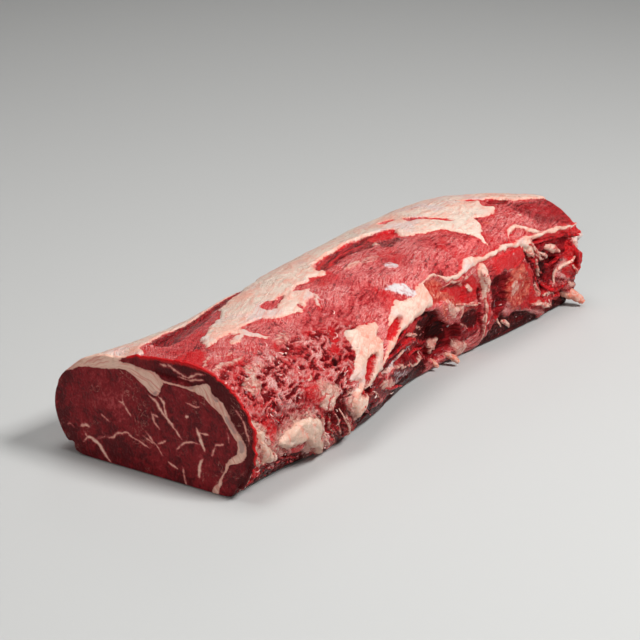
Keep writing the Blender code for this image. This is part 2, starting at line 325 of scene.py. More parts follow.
MARKS = (
    # colour, strength, height, softness of its edge, half width or 0 for an outline, points
    # the near cut's edge: wet and red along the top, rounded off to the back, with a notch low on the back
    ("bright", 0.80, 0.0, 3.0, 1.8, ((-203, -76), (-201, -56), (-202, -30), (-201, 0), (-202, 28), (-203, 46))),
    ("bare", 0.0, -3.0, 16.0, 0, ((-212, 26), (-198, 30), (-194, 39), (-198, 48), (-212, 52))),
    ("bare", 0.0, -3.0, 3.5, 2.4, ((-216, 137), (-200, 138), (-188, 139), (-172, 141))),
    # the long lean strip beside the cap, darkened along its middle with painted shade, and the dark lean that shows
    # under the cover's edge, partly painted shade under that edge
    ("bare", 0.0, -0.9, 3.0, 0, ((-168, 4), (-150, 18), (-124, 32), (-98, 47), (-70, 54), (-46, 62), (-30, 72),
                                 (-50, 70), (-75, 63), (-104, 53), (-136, 44), (-164, 36), (-204, 24),
                                 (-204, 2))),
    ("bright", 0.45, 0.0, 6.0, 0, ((-204, 2), (-160, 12), (-120, 33), (-90, 52), (-120, 48), (-160, 38),
                                   (-204, 26))),
    ("deep", 0.85, -0.4, 4.0, 0, ((-176, 24), (-158, 24), (-140, 32), (-118, 40), (-98, 50), (-72, 57), (-46, 63),
                                  (-28, 72), (-46, 73), (-72, 67), (-96, 60), (-122, 51), (-150, 43), (-176, 36))),
    ("deep", 0.70, -1.8, 2.5, 0, ((-31, 16), (-26, 23), (-17, 28), (-5, 31), (7, 32), (20, 32), (32, 31),
                                 (42, 29), (49, 24), (53, 16), (47, 12), (38, 16), (30, 14), (20, 12),
                                 (8, 15), (-6, 17), (-18, 17), (-26, 14))),
    ("bright", 1.0, 0.5, 4.0, 0, ((38, 10), (46, 11), (54, 14), (54, 20), (47, 25), (38, 26), (33, 18))),
    ("bright", 0.7, 0.4, 3.0, 1.5, ((-26, 20), (-18, 25), (-8, 28))),
    ("bright", 0.8, 0.5, 2.5, 1.4, ((-22, 18), (-6, 22), (10, 24), (28, 23))),
    ("dark", 0.7, -0.6, 1.5, 0.9, ((-14, 24), (2, 27), (18, 28), (34, 27))),
    ("dark", 0.6, -0.5, 1.5, 0.8, ((-20, 15.5), (-4, 19), (12, 20), (26, 18))),
    ("pale", 0.6, 0.5, 1.5, 0.7, ((-4, 16), (8, 17), (18, 15))),
    ("dark", 0.60, -0.8, 5.0, 0, ((26, 12), (34, 13), (46, 7), (40, 1), (28, 0), (25, 6))),
    ("dark", 0.55, -0.6, 3.0, 0, ((4, 1), (8, 0), (7, -6), (2, -5))),
    ("dark", 0.50, -0.6, 3.0, 0, ((14, -5), (22, -5), (24, -9), (16, -9))),
    ("pale", 0.85, 0.7, 1.5, 1.3, ((24, 8), (28, 13), (34, 17))),
    ("pale", 0.80, 0.8, 2.0, 0, ((-22, 3), (-12, 6), (-8, 3), (-14, 0), (-21, 1))),
    ("pale", 0.45, 0.4, 4.0, 0, ((-12, 2), (6, 2), (8, -4), (-6, -5))),
    # A painted highlight: a small white glint on the wet smooth lean.
    ("silver", 0.60, 0.6, 4.0, 0, ((-6, -14), (0, -12), (3, -17), (0, -23), (-4, -21))),
    ("bright", 0.70, -0.4, 3.0, 2.0, ((-57, 14), (-48, 13), (-38, 12), (-30, 10), (-36, 6))),
    ("dark", 0.40, -0.5, 2.0, 1.0, ((-54, 6), (-44, 8), (-34, 12))),
    ("deep", 0.80, -0.4, 1.0, 0.5, ((-60, -31), (-50, -32), (-40, -31), (-28, -28))),
    ("deep", 0.80, -0.4, 1.0, 0.5, ((-58, -28), (-46, -28.5), (-37, -25))),
    ("deep", 0.70, -0.4, 1.0, 0.5, ((-60, -24), (-48, -25), (-41, -22))),
    ("deep", 0.70, -0.4, 1.0, 0.5, ((-117, -16), (-112, -9), (-108, -3))),
    ("deep", 0.70, -0.4, 1.0, 0.5, ((-109, -13), (-105, -7))),
    ("bright", 0.90, -1.8, 2.5, 0, ((-99, -41), (-95, -34), (-91, -30), (-89, -35), (-94, -43))),
    ("dark", 0.60, -1.0, 2.0, 1.0, ((-104, -44), (-98, -39), (-94, -32))),
    ("bright", 0.90, -0.6, 2.0, 0, ((-107, -46), (-100, -43), (-99, -48), (-104, -50))),
    ("dark", 0.95, -2.2, 1.5, 0, ((-113, -53), (-110, -50), (-107, -52), (-110, -56))),
    # the coarse lean next to the near cut: a smooth red corner, pale torn streaks, a painted highlight, and pits
    # darkened with painted shade
    ("bright", 0.90, 0.0, 6.0, 0, ((-202, -1), (-188, 4), (-178, 2), (-180, -7), (-190, -13), (-202, -17))),
    ("dark", 0.50, -0.6, 2.0, 1.0, ((-199, -7), (-191, -2), (-184, 3))),
    ("dark", 0.45, -0.6, 2.0, 1.0, ((-179, -9), (-173, -4), (-168, 2))),
    ("pale", 0.75, 0.6, 3.0, 1.4, ((-199, -26), (-186, -23), (-176, -25), (-166, -22))),
    ("pale", 0.60, 0.4, 3.0, 1.2, ((-198, -18), (-190, -15), (-184, -11))),
    ("pale", 0.60, 0.4, 2.0, 1.0, ((-180, -14), (-172, -17), (-166, -14))),
    # A painted highlight: a pale patch where the wet coarse lean catches the light.
    ("pale", 0.75, 0.6, 4.0, 0, ((-188, -42), (-179, -38), (-172, -40), (-177, -48), (-184, -50))),
    ("pale", 0.50, 0.3, 4.0, 0, ((-176, -31), (-166, -31), (-160, -36), (-168, -38), (-178, -37))),
    ("pale", 0.50, 0.3, 5.0, 0, ((-136, -25), (-128, -27), (-121, -24), (-118, -19), (-126, -18))),
    ("pale", 0.70, 0.8, 1.5, 1.0, ((-139, -54.5), (-133, -54.5))),
    ("pale", 0.85, 0.9, 5.0, 0, ((-140, -62), (-130, -58), (-124, -62), (-117, -64), (-121, -71), (-125, -76),
                                 (-132, -74), (-137, -68))),
    ("bright", 0.70, -0.5, 1.5, 0.9, ((-139, -69), (-133, -66), (-126, -66))),
    ("bright", 0.70, -0.5, 1.5, 0.8, ((-131, -75), (-128, -70), (-121, -67))),
    ("bright", 0.70, -0.8, 3.0, 1.5, ((-141, -30), (-137, -26), (-133, -24))),
    ("dark", 0.60, -1.0, 2.0, 1.2, ((-150, -37), (-146, -32))),
    ("dark", 0.60, -1.2, 2.0, 1.0, ((-166, -54), (-164, -58))),
    ("deep", 0.50, -0.8, 5.0, 0, ((-186, -60), (-166, -60), (-144, -60), (-138, -68), (-146, -73), (-164, -74),
                                  (-180, -76), (-190, -66))),
    ("film", 0.70, 0.5, 2.5, 1.4, ((-203, -62), (-198, -68), (-195, -74), (-194, -82))),
    ("bright", 0.62, 0.6, 6.0, 0, ((-192, -66), (-181, -64), (-177, -72), (-180, -82), (-186, -80),
                                   (-190, -72))),
    ("bright", 0.58, 0.3, 6.0, 0, ((-147, -58), (-136, -57), (-132, -62), (-138, -72), (-142, -66))),
    # blood and orange stains on the fat of the chine side, and tan from the pale marks, partly the fat's own colour and
    # partly painted shade on the low fat and the shoulder
    ("pale", 0.55, 0.2, 6.0, 0, ((-182, -74), (-154, -68), (-134, -78), (-122, -110), (-140, -104), (-180, -88))),
    ("pale", 0.65, 0.2, 6.0, 0, ((-110, -70), (-94, -74), (-92, -86), (-103, -94), (-112, -82))),
    ("pale", 0.40, 0.0, 6.0, 0, ((-94, -60), (-82, -56), (-70, -66), (-78, -74), (-96, -72))),
    ("pale", 0.45, 0.0, 5.0, 0, ((-72, -74), (-56, -64), (-40, -58), (-20, -58), (-40, -63), (-60, -70))),
    ("pale", 0.60, 0.0, 5.0, 0, ((-204, -56), (-190, -66), (-184, -78), (-184, -92), (-196, -90), (-204, -76))),
    ("film", 0.45, 0.3, 4.0, 0, ((-104, -72), (-97, -76), (-96, -84), (-103, -90), (-109, -80))),
    ("film", 0.45, -0.3, 2.5, 1.2, ((-92, -52), (-84, -58), (-78, -64), (-72, -70))),
    ("film", 0.50, 0.0, 3.0, 1.2, ((-62, -64), (-50, -60), (-36, -58), (-20, -56))),
    ("film", 0.40, 0.0, 3.0, 1.5, ((-176, -84), (-164, -88), (-152, -89), (-144, -92))),
    ("film", 0.95, -0.7, 2.0, 0.8, ((-170, -77), (-167, -81), (-162, -84), (-160, -88))),
    ("film", 0.95, -0.7, 2.0, 0.8, ((-157, -74), (-154, -79), (-150, -82), (-149, -89))),
    ("film", 0.85, -0.5, 1.8, 0.7, ((-146, -76), (-144, -84), (-140, -90))),
    ("film", 0.55, 0.2, 2.5, 1.4, ((-194, -79), (-190, -85), (-188, -88))),
    ("film", 0.60, 0.0, 2.0, 1.0, ((-72, -56), (-76, -48), (-72, -43))),
    # low down beside the near cut, in the shade
    ("dark", 0.60, -2.0, 4.0, 0, ((-204, -90), (-186, -92), (-172, -92), (-156, -94), (-146, -97), (-138, -103),
                                  (-128, -112), (-150, -122), (-204, -122))),
    ("bright", 0.60, 0.8, 3.0, 0, ((-163, -88), (-152, -87), (-149, -93), (-154, -97), (-161, -95))),
    ("bright", 0.90, 1.2, 2.5, 0, ((-202, -90), (-193, -90), (-189, -95), (-190, -104), (-196, -109), (-202, -104))),
    ("pale", 0.95, 0.8, 2.0, 0, ((-200, -93), (-194, -93), (-193, -98), (-197, -103), (-201, -100))),
    ("deep", 0.90, 1.0, 2.5, 1.3, ((-186, -94), (-170, -96), (-156, -103), (-146, -112))),
    ("bright", 0.55, 0.8, 2.5, 1.1, ((-180, -100), (-168, -102), (-156, -110))),
    ("deep", 1.00, -2.5, 2.0, 0, ((-131, -78), (-127, -78), (-124, -86), (-126, -93), (-129, -95), (-131, -88))),
    ("pale", 0.70, 1.0, 1.5, 1.0, ((-134, -78), (-132, -90), (-124, -101), (-114, -113))),
    ("pale", 0.70, 1.0, 1.2, 0.7, ((-124, -78), (-121, -88), (-114, -98), (-104, -111))),
    ("pale", 0.65, 0.9, 1.2, 0.6, ((-128, -76), (-125, -88), (-118, -100), (-108, -113))),
    ("dark", 0.60, -1.5, 1.5, 1.1, ((-122, -80), (-118, -90), (-110, -100), (-101, -111))),
    ("pale", 0.70, 1.1, 1.5, 1.2, ((-117, -78), (-112, -89), (-104, -99), (-95, -112))),
    ("dark", 0.60, -1.2, 1.5, 1.0, ((-112, -80), (-108, -90), (-100, -100), (-90, -112))),
    ("film", 0.90, 1.0, 1.5, 1.3, ((-102, -99), (-94, -106), (-86, -114))),
    ("dark", 0.70, -1.5, 3.0, 0, ((-122, -73), (-113, -73), (-112, -84), (-118, -87), (-122, -82))),
    ("dark", 0.70, -0.8, 0.9, 0.5, ((-119, -62), (-112, -62), (-105, -64), (-98, -66))),
    ("dark", 0.70, -0.8, 0.9, 0.5, ((-117, -67), (-111, -68))),
    ("dark", 0.70, -0.8, 0.9, 0.5, ((-116, -70), (-107, -71.5))),
    ("dark", 0.70, -0.8, 0.9, 0.5, ((-115, -73), (-106, -74))),
    ("deep", 1.00, 0.0, 4.0, 0, ((-96, -80), (-84, -78), (-72, -76), (-66, -82), (-74, -96), (-90, -104),
                                 (-100, -94))),
    ("dark", 0.80, -2.2, 2.0, 1.8, ((-96, -76.5), (-88, -78), (-80, -75.5), (-72, -74.5))),
    ("dark", 0.65, -1.6, 3.0, 0, ((-101, -88), (-90, -86), (-80, -92), (-72, -102), (-84, -108), (-98, -98))),
    ("pale", 0.60, 0.9, 1.5, 0.9, ((-93, -79), (-84, -82), (-76, -88), (-66, -96))),
    ("dark", 0.80, -1.5, 4.0, 0, ((-84, -100), (-70, -98), (-58, -102), (-36, -106), (-30, -122), (-90, -122))),
    # the hollow under the fat ridge, with its torn muscle, sheath and silverskin, and painted shade deep in the hollow
    ("bright", 1.00, -2.2, 2.0, 0, ((-58, -57), (-49, -52), (-39, -50), (-36, -51), (-42, -56), (-52, -60))),
    ("bright", 0.90, -1.8, 2.0, 0, ((-96, -74), (-95, -70), (-90, -66), (-84, -63), (-75, -60), (-76, -65),
                                    (-82, -69), (-88, -73))),
    ("deep", 1.00, -5.0, 3.0, 0, ((-70, -73), (-65, -70), (-58, -67), (-50, -63), (-42, -61), (-35, -59.5),
                                  (-27, -59), (-20, -58.5), (-12, -57.5), (-5, -58), (2, -59.5), (8, -61),
                                  (14, -63.5), (18, -67), (22, -72), (26, -76), (31, -80), (38, -84), (46, -85),
                                  (52, -93), (46, -104), (30, -106), (14, -99), (0, -94), (-14, -89),
                                  (-30, -83), (-50, -80), (-64, -80))),
    ("dark", 0.45, 0.0, 4.0, 0, ((-69, -72), (-50, -63), (-27, -59), (-5, -58), (8, -61), (14, -80), (-14, -88),
                                 (-40, -80), (-64, -80))),
    ("dark", 0.95, -1.5, 5.0, 0, ((-8, -66), (2, -61), (12, -63), (18, -68), (24, -75), (32, -81), (42, -86),
                                  (44, -98), (34, -104), (26, -94), (8, -87), (-6, -77))),
    ("bright", 0.85, 1.8, 2.0, 0, ((-36, -69), (-26, -69), (-17, -71), (-15, -74), (-24, -76), (-34, -74))),
    ("bright", 0.60, 1.5, 2.0, 0, ((-29, -60), (-18, -59.5), (-13, -62), (-16, -66), (-26, -66))),
    ("pale", 0.85, 1.4, 1.5, 1.1, ((-30, -66), (-22, -68), (-15, -71), (-9, -75))),
    ("pale", 0.75, 1.0, 1.5, 1.0, ((-12, -67), (-5, -70), (0, -73), (4, -76))),
    ("bright", 0.55, 0.8, 2.0, 1.3, ((-10, -62), (0, -65), (10, -67))),
    ("silver", 0.80, 1.2, 1.0, 0.7, ((-60, -80), (-50, -79), (-40, -77.5), (-28, -78), (-18, -77.5), (-8, -79))),
    ("deep", 1.00, -1.0, 3.0, 0, ((-50, -81), (-20, -81), (0, -88), (20, -96), (24, -106), (-10, -104),
                                  (-40, -104), (-64, -96), (-72, -86))),
    ("pale", 0.85, 1.2, 1.5, 1.0, ((-52, -80), (-40, -83), (-28, -88), (-10, -94), (8, -98), (18, -97))),
    ("pale", 0.85, 1.2, 3.0, 0, ((-72, -81), (-62, -82), (-52, -87), (-44, -93), (-40, -97), (-48, -97),
                                 (-58, -91), (-70, -85))),
    ("silver", 0.36, 0.6, 5.0, 0, ((-50, -83), (-38, -86), (-26, -91), (-16, -96), (-16, -99), (-28, -100),
                                   (-38, -97), (-47, -91))),
    ("dark", 0.60, -0.6, 1.5, 0.8, ((-54, -85), (-44, -90), (-34, -95), (-24, -98))),
    ("deep", 0.60, -0.4, 1.2, 0.7, ((-44, -84), (-34, -88), (-22, -93))),
    ("bright", 0.50, 0.6, 2.0, 1.3, ((2, -84), (10, -88), (20, -93))),
    ("bright", 0.50, 0.6, 2.0, 1.3, ((-20, -84), (-4, -88), (8, -93))),
    ("dark", 0.80, -1.5, 4.0, 0, ((-30, -101), (-10, -100), (16, -102), (20, -114), (-10, -120), (-40, -114))),
    ("pale", 0.80, 3.5, 2.5, 0, ((23, -92), (33, -92), (33, -96), (28, -102), (25, -98))),
    ("deep", 0.90, 0.0, 3.0, 0, ((40, -84), (60, -80), (72, -84), (70, -97), (52, -97), (42, -90))),
    ("dark", 0.70, -2.0, 3.0, 0, ((50, -78), (60, -75), (70, -79), (73, -90), (64, -92), (54, -86))),
    ("pale", 0.55, 1.0, 1.5, 1.0, ((50, -84), (56, -86), (61, -90))),
    # A painted highlight: a small glint on the wet lean.
    ("silver", 0.60, 0.8, 1.0, 0.7, ((43, -84), (45, -88))),
    ("pale", 0.60, 2.0, 3.0, 0, ((50, -97), (60, -98), (64, -106), (54, -112), (49, -104))),
    # thin wet film over bright lean, where the backbone came away
    ("film", 0.95, -2.4, 4.0, 0, ((2, -42), (9, -41), (16, -44), (24, -49), (36, -52), (50, -60), (48, -71),
                                  (38, -68), (28, -62), (16, -58), (3, -56))),
    ("pale", 0.85, 0.8, 4.0, 3.0, ((22, -60), (29, -65), (36, -71), (42, -78))),
    ("pale", 0.75, 0.6, 3.0, 2.0, ((34, -66), (42, -70), (48, -74), (47, -79))),
    ("film", 0.80, 0.0, 3.0, 1.6, ((16, -58), (22, -66), (28, -73), (34, -78))),
    ("film", 0.70, 0.4, 2.0, 1.0, ((48, -76), (56, -75), (64, -77))),
    ("bright", 0.95, -1.2, 3.0, 0, ((18, -49), (30, -52), (42, -55), (54, -51), (63, -55), (70, -66), (68, -72),
                                    (56, -71), (46, -68), (34, -60), (24, -54))),
    ("dark", 0.55, -1.6, 2.0, 1.6, ((28, -51), (38, -53), (48, -57), (58, -60))),
    ("pale", 0.85, 1.6, 1.2, 1.1, ((42, -54), (47, -57))),
    ("pale", 0.85, 1.8, 1.2, 1.4, ((52, -59), (58, -62))),
    ("pale", 0.70, 1.0, 1.2, 0.8, ((20, -48), (32, -49.5), (42, -51), (60, -50))),
    # the flesh each side of the column of fat, and the round muscle beyond it, with painted shade in its hollow and a
    # painted highlight on its film
    ("deep", 0.90, -0.8, 2.0, 1.2, ((66, -62), (69, -70), (71, -80), (74, -92), (77, -104))),
    ("bright", 0.85, 0.4, 2.0, 1.4, ((77, -72), (78, -82), (80, -94), (83, -104))),
    ("pale", 0.70, 0.9, 1.5, 0.9, ((74, -73), (75, -82), (77, -94), (80, -106))),
    ("pale", 0.60, 1.0, 1.0, 0.8, ((79, -78), (83, -77))),
    ("bright", 1.00, 1.6, 3.0, 0, ((81, -49), (98, -49), (112, -50), (122, -56), (114, -62), (100, -61),
                                   (84, -61))),
    ("deep", 1.00, 0.0, 3.0, 0, ((80, -60), (98, -62), (105, -73), (102, -88), (94, -96), (84, -90), (80, -72))),
    ("dark", 0.55, -4.5, 5.0, 0, ((82, -63), (95, -65), (101, -74), (98, -86), (91, -93), (84, -87), (82, -74))),
    ("deep", 0.60, 0.6, 1.5, 0.9, ((84, -70), (92, -74), (99, -81))),
    ("pale", 0.50, 0.6, 1.0, 0.6, ((84, -62), (100, -61.5), (115, -61.5))),
    ("film", 0.95, 2.2, 5.0, 0, ((101, -65), (112, -62), (124, -67), (132, -78), (134, -90), (124, -96),
                                 (111, -93), (103, -84))),
    ("bright", 0.95, 0.0, 5.0, 0, ((114, -60), (128, -68), (140, -82), (160, -96), (160, -104), (138, -102),
                                   (120, -96), (130, -88), (126, -74))),
    ("dark", 0.75, -1.4, 2.0, 1.3, ((119, -57), (126, -62), (131, -68), (137, -76))),
    # A painted highlight: the cream-orange shine in the middle of the wet film.
    ("pale", 0.75, 0.8, 5.0, 0, ((102, -73), (108, -71), (114, -76), (113, -82), (106, -81))),
    ("bright", 0.55, -0.4, 2.5, 1.0, ((100, -66), (110, -72), (120, -82))),
    ("pale", 0.45, 0.4, 2.0, 0.9, ((112, -68), (120, -76), (127, -88))),
    ("deep", 0.80, -1.0, 4.0, 0, ((84, -90), (98, -92), (104, -100), (92, -106), (82, -100))),
    ("bright", 0.50, 0.6, 3.0, 0, ((83, -92), (96, -94), (98, -101), (86, -103))),
    ("dark", 0.80, -2.0, 4.0, 0, ((96, -96), (110, -98), (130, -102), (150, -110), (150, -122), (90, -122),
                                  (84, -108))),
    # the ragged trimmings at the far end, with painted shade in their hollows
    ("deep", 1.00, -2.2, 4.0, 0, ((120, -54), (140, -52), (156, -54), (178, -54), (184, -62), (182, -72),
                                  (170, -78), (160, -90), (146, -92), (138, -82), (132, -70), (124, -62))),
    ("dark", 0.75, -3.0, 3.0, 0, ((142, -70), (154, -72), (158, -82), (152, -92), (143, -84))),
    ("dark", 0.65, -1.8, 2.0, 0, ((154, -70), (170, -71), (174, -75), (162, -77))),
    ("dark", 0.65, -1.6, 2.0, 1.3, ((136, -53), (142, -55), (150, -57))),
    ("bright", 0.90, 1.2, 2.0, 1.8, ((132, -48), (142, -52), (160, -53), (180, -53), (196, -53))),
    ("bright", 0.90, 1.0, 3.0, 0, ((182, -62), (196, -64), (200, -80), (190, -84), (180, -80))),
    ("dark", 0.80, -3.0, 3.0, 0, ((172, -94), (182, -98), (192, -104), (198, -114), (160, -118), (166, -107))),
    ("bright", 1.00, 2.0, 2.0, 0, ((168, -98), (176, -98), (181, -102), (176, -105), (168, -102))),
    ("bare", 0.0, -4.0, 4.0, 0, ((190, -62), (202, -62), (202, -71), (192, -70))),
    ("bright", 0.80, 0.8, 3.0, 0, ((174, -80), (184, -78), (192, -82), (190, -88), (178, -87))),
    ("dark", 0.85, -1.6, 1.5, 1.0, ((148, -63), (156, -67), (164, -71), (172, -73))),
    ("bright", 0.80, 0.8, 2.0, 1.2, ((128, -58), (134, -66), (142, -74), (148, -84))),
    ("pale", 0.75, 1.0, 2.0, 1.2, ((128, -54), (134, -60), (141, -65), (150, -69))),
    ("film", 0.70, 0.8, 2.0, 1.3, ((124, -52), (130, -58), (136, -63))),
    ("pale", 0.65, 0.8, 2.5, 0, ((141, -86), (145, -86), (148, -92), (145, -94), (141, -91))),
    ("bright", 0.70, 0.6, 2.0, 1.2, ((150, -86), (158, -90), (166, -93))),
    ("pale", 0.80, 1.2, 2.5, 1.8, ((136, -97), (146, -99), (156, -103), (166, -106))),
    ("pale", 0.80, 1.4, 1.2, 0.9, ((136, -66), (146, -74), (153, -82))),
    ("pale", 0.80, 1.2, 1.2, 0.9, ((150, -94), (158, -95), (166, -98))),
    ("pale", 0.90, 1.4, 1.5, 1.3, ((183, -92), (190, -94), (198, -97))),
    # the far end's muscle on top
    ("deep", 0.62, 0.0, 8.0, 0, ((142, -20), (170, -20), (204, -24), (204, -46), (160, -46), (146, -40))),
    ("bright", 0.40, 0.0, 8.0, 0, ((152, -26), (176, -26), (196, -32), (190, -42), (160, -40))),
    ("deep", 1.00, -1.0, 2.0, 0, ((140, -3), (150, -3), (155, -6), (155, -12), (150, -15), (143, -13),
                                  (138, -9))),
    ("pale", 0.70, 0.4, 1.5, 1.1, ((136, -30), (139, -33))),
    ("film", 0.60, 0.3, 2.0, 1.5, ((103, -22), (105, -27))),
    ("silver", 0.74, 0.6, 4.0, 0, ((-30, -30), (-25, -30), (-14, -33), (-11, -39), (-8, -43), (-15, -46),
                                   (-20, -43), (-25, -38), (-29, -33))),
)
OUTLINE_STEPS = 4
EDGE_WANDER = ((7.0, 1.5), (2.6, 1.0), (1.3, 0.5))
PAINT_REACH = 14.0
LINE_TAPER = 5
RIB_SPACING = 46.0


def curved(points, closed):
    """A smooth curve through an outline's points."""
    points = np.array(points, float)
    count = len(points)
    made = []
    for i in range(count if closed else count - 1):
        if closed:
            a, b, c, d = (points[(i + k) % count] for k in (-1, 0, 1, 2))
        else:
            a, b, c, d = (points[min(max(i + k, 0), count - 1)] for k in (-1, 0, 1, 2))
        for step in range(OUTLINE_STEPS):
            t = step / OUTLINE_STEPS
            bend = (2 * a - 5 * b + 4 * c - d) * t**2 + (3 * b - a - 3 * c + d) * t**3
            made.append(0.5 * (2 * b + (c - a) * t + bend))
    if not closed:
        made.append(points[-1])
    return np.array(made)


def distance_to(path, closed, along, round_it):
    """Distance from each place to a path, which share of the path that is at, and whether it is inside."""
    ends = np.roll(path, -1, axis=0) if closed else path[1:]
    nearest = np.full(along.shape, 1e9)
    share = np.zeros(along.shape)
    inside = np.zeros(along.shape, bool)
    for i, ((ax, ay), (bx, by)) in enumerate(zip(path, ends)):
        dx, dy = bx - ax, by - ay
        t = np.clip(((along - ax) * dx + (round_it - ay) * dy) / (dx * dx + dy * dy + 1e-9), 0, 1)
        away = (along - ax - t * dx) ** 2 + (round_it - ay - t * dy) ** 2
        share = np.where(away < nearest, (i + t) / len(ends), share)
        nearest = np.minimum(nearest, away)
        if closed and ay != by:
            crossing = (ay > round_it) != (by > round_it)
            inside ^= crossing & (along < ax + (round_it - ay) * dx / (by - ay))
    return np.sqrt(nearest), share, inside


def depth_in(points, closed, along, round_it, half_width=0.0):
    """How deep each place lies inside an outline, or inside a line that tapers to its ends: negative outside."""
    path = curved(points, closed)
    depth = np.full(along.shape, -PAINT_REACH)
    low, high = path.min(0) - PAINT_REACH, path.max(0) + PAINT_REACH
    close = (along > low[0]) & (along < high[0]) & (round_it > low[1]) & (round_it < high[1])
    nearest, share, inside = distance_to(path, closed, along[close], round_it[close])
    tapered = half_width * (1 - np.abs(2 * share - 1) ** LINE_TAPER)
    depth[close] = np.where(inside, nearest, -nearest) if closed else tapered - nearest
    return np.maximum(depth, -PAINT_REACH)


def wander(places, shift):
    """How far an edge strays from its outline."""
    return sum(amount * lumps(places, size, shift) for size, amount in EDGE_WANDER)


along = skin[..., 0] + wander(skin, 11.3)
round_it = tape + wander(skin, 23.9)
fat = np.full(along.shape, -PAINT_REACH)
proud = np.zeros(along.shape)
for thickness, outline in FAT_COVERS.values():
    depth = depth_in(outline, True, along, round_it)
    fat = np.maximum(fat, depth)
    proud = np.maximum(proud, thickness * smooth_ramp(0.2 + depth / (0.8 + 1.1 * thickness)))
for outline in LEAN_ISLANDS.values():
    depth = depth_in(outline, True, along, round_it)
    fat = np.minimum(fat, -depth)
    proud = proud * (1 - smooth_ramp(0.5 + depth / 1.5))
for half_width, thickness, line in FAT_LINES.values():
    depth = depth_in(line, False, (along + skin[..., 0]) / 2, (round_it + tape) / 2, half_width)
    depth += 0.6 * half_width * lumps(skin, 6.0, 14.0)
    fat = np.maximum(fat, depth)
    proud = np.maximum(proud, thickness * smooth_ramp(0.5 + depth / (1.2 * half_width)))
under = smooth_ramp((tape - 150) / 12) * smooth_ramp((girths - 118 - tape) / 8)
rib_bands = np.sin(2 * math.pi * (skin[..., 0] + 0.45 * skin[..., 1] + 5 * lumps(skin, 30.0, 6.0)) / RIB_SPACING)
under_fat = 6.0 * (rib_bands + 1.5 * rough_lumps(skin, 13.0, 9.0, 4) - 0.75)
fat = np.where(under > 0, np.maximum(np.minimum(fat, 30 * (0.5 - under)), under_fat * under - 2 * (1 - under)), fat)
layers = {key: np.zeros(along.shape) for key in LAYERS}
marked = np.zeros(along.shape)
for kind, strength, height, edge, half_width, points in MARKS:
    cover = smooth_ramp(0.5 + depth_in(points, half_width == 0, along, round_it, half_width) / edge)
    marked += height * cover
    if kind in LAYERS:
        for key in LAYERS[LAYERS.index(kind) + 1 :]:
            layers[key] *= 1 - strength * cover
        layers[kind] = np.maximum(layers[kind], strength * cover)

# ---------------------------------------------------------------------------------------------------------
# The skin's relief: fat stands proud of the lean, the lean is ribbed along its grain and torn where bones
# and flaps were pulled away, and the chine side has its hollows. The underside stays flat where it lies.
# ---------------------------------------------------------------------------------------------------------
normals = outward(skin)
torn = smooth_ramp((-14 - tape) / 22) * smooth_ramp((-50 - skin[..., 0]) / 45)
torn = np.maximum(torn, 0.9 * smooth_ramp((-54 - tape) / 5) * smooth_ramp((skin[..., 0] - 108) / 16))
torn = np.maximum(torn, 0.5 * smooth_ramp((-60 - tape) / 8))
torn *= 1 - under
lean_cover = 1 - smooth_ramp(0.5 + fat / 1.5)
grain_turn = 0.2 * skin[..., 0] - 60 * np.exp(-(skin[..., 0] + 200) / 90)
grain_across = tape - grain_turn + 6.0 * lumps(skin, 34.0, 5.1) + 2.0 * lumps(skin, 13.0, 7.1)
grain = np.stack([skin[..., 0] * 0.15, grain_across, skin[..., 2] * 0.25], -1)
ribs = rough_lumps(grain, 2.2, 2.0, 2)
tangled = skin + 2.5 * np.stack([lumps(skin, 6.0, shift) for shift in (3.3, 13.3, 29.7)], -1)
tugged = tangled * (0.5, 1.0, 1.0)
tears = 0.9 - 1.6 * np.abs(lumps(tugged, 3.6, 8.0)) - 1.5 * np.abs(lumps(tugged, 1.9, 17.0))
low = smooth_ramp((-70 - tape) / 8) * (1 - under)
low_turn = 0.35 * skin[..., 0] - 45 * np.exp(-(skin[..., 0] + 120) / 75)
low_grain = np.stack([skin[..., 0] * 0.12, tape + low_turn + 3.0 * lumps(skin, 15.0, 21.0), skin[..., 2] * 0.1], -1)
tears = (1 - low) * tears + low * 1.5 * rough_lumps(low_grain, 3.4, 5.0, 3)
# crest is the height of the lean's ribs and tears; the material also paints the lean lighter on it and darker below it,
# as painted shade.
crest = (1 - torn) * ribs + torn * tears
relief = 0.7 * rough_lumps(skin, 24.0, 1.0, 2)
relief += proud * (1 + 0.2 * rough_lumps(skin, 9.0, 6.0, 3))
relief += lean_cover * (0.26 * (1 - torn) * ribs + torn * (0.95 * tears + 0.8 * rough_lumps(skin, 9.0, 31.0, 2)))
relief += (1 - lean_cover) * (0.3 * rough_lumps(skin, 6.0, 4.0, 3) + 0.13 * rough_lumps(tangled, 2.6, 9.5, 2))
relief += marked
far_trim = smooth_ramp((-52 - tape) / 5) * smooth_ramp((skin[..., 0] - 105) / 20)
relief += far_trim * 1.8 * rough_lumps(tangled, 7.0, 12.0, 2)
relief = relief * smooth_ramp(skin[..., 2] / 4.0)
skin_out = skin + normals * relief[..., None]
skin_out[..., 2] = np.maximum(skin_out[..., 2], 0.02)
shed = lean_cover * torn * smooth_ramp(0.35 + 0.9 * rough_lumps(skin, 16.0, 44.0, 2)) * smooth_ramp(skin[..., 2] / 6)
shed *= 1 - 0.8 * smooth_ramp((-60 - tape) / 6) * smooth_ramp((skin[..., 0] + 90) / 20)
PAINT = {"fat": fat, "torn": torn, "crest": crest, "shed": shed, **layers}


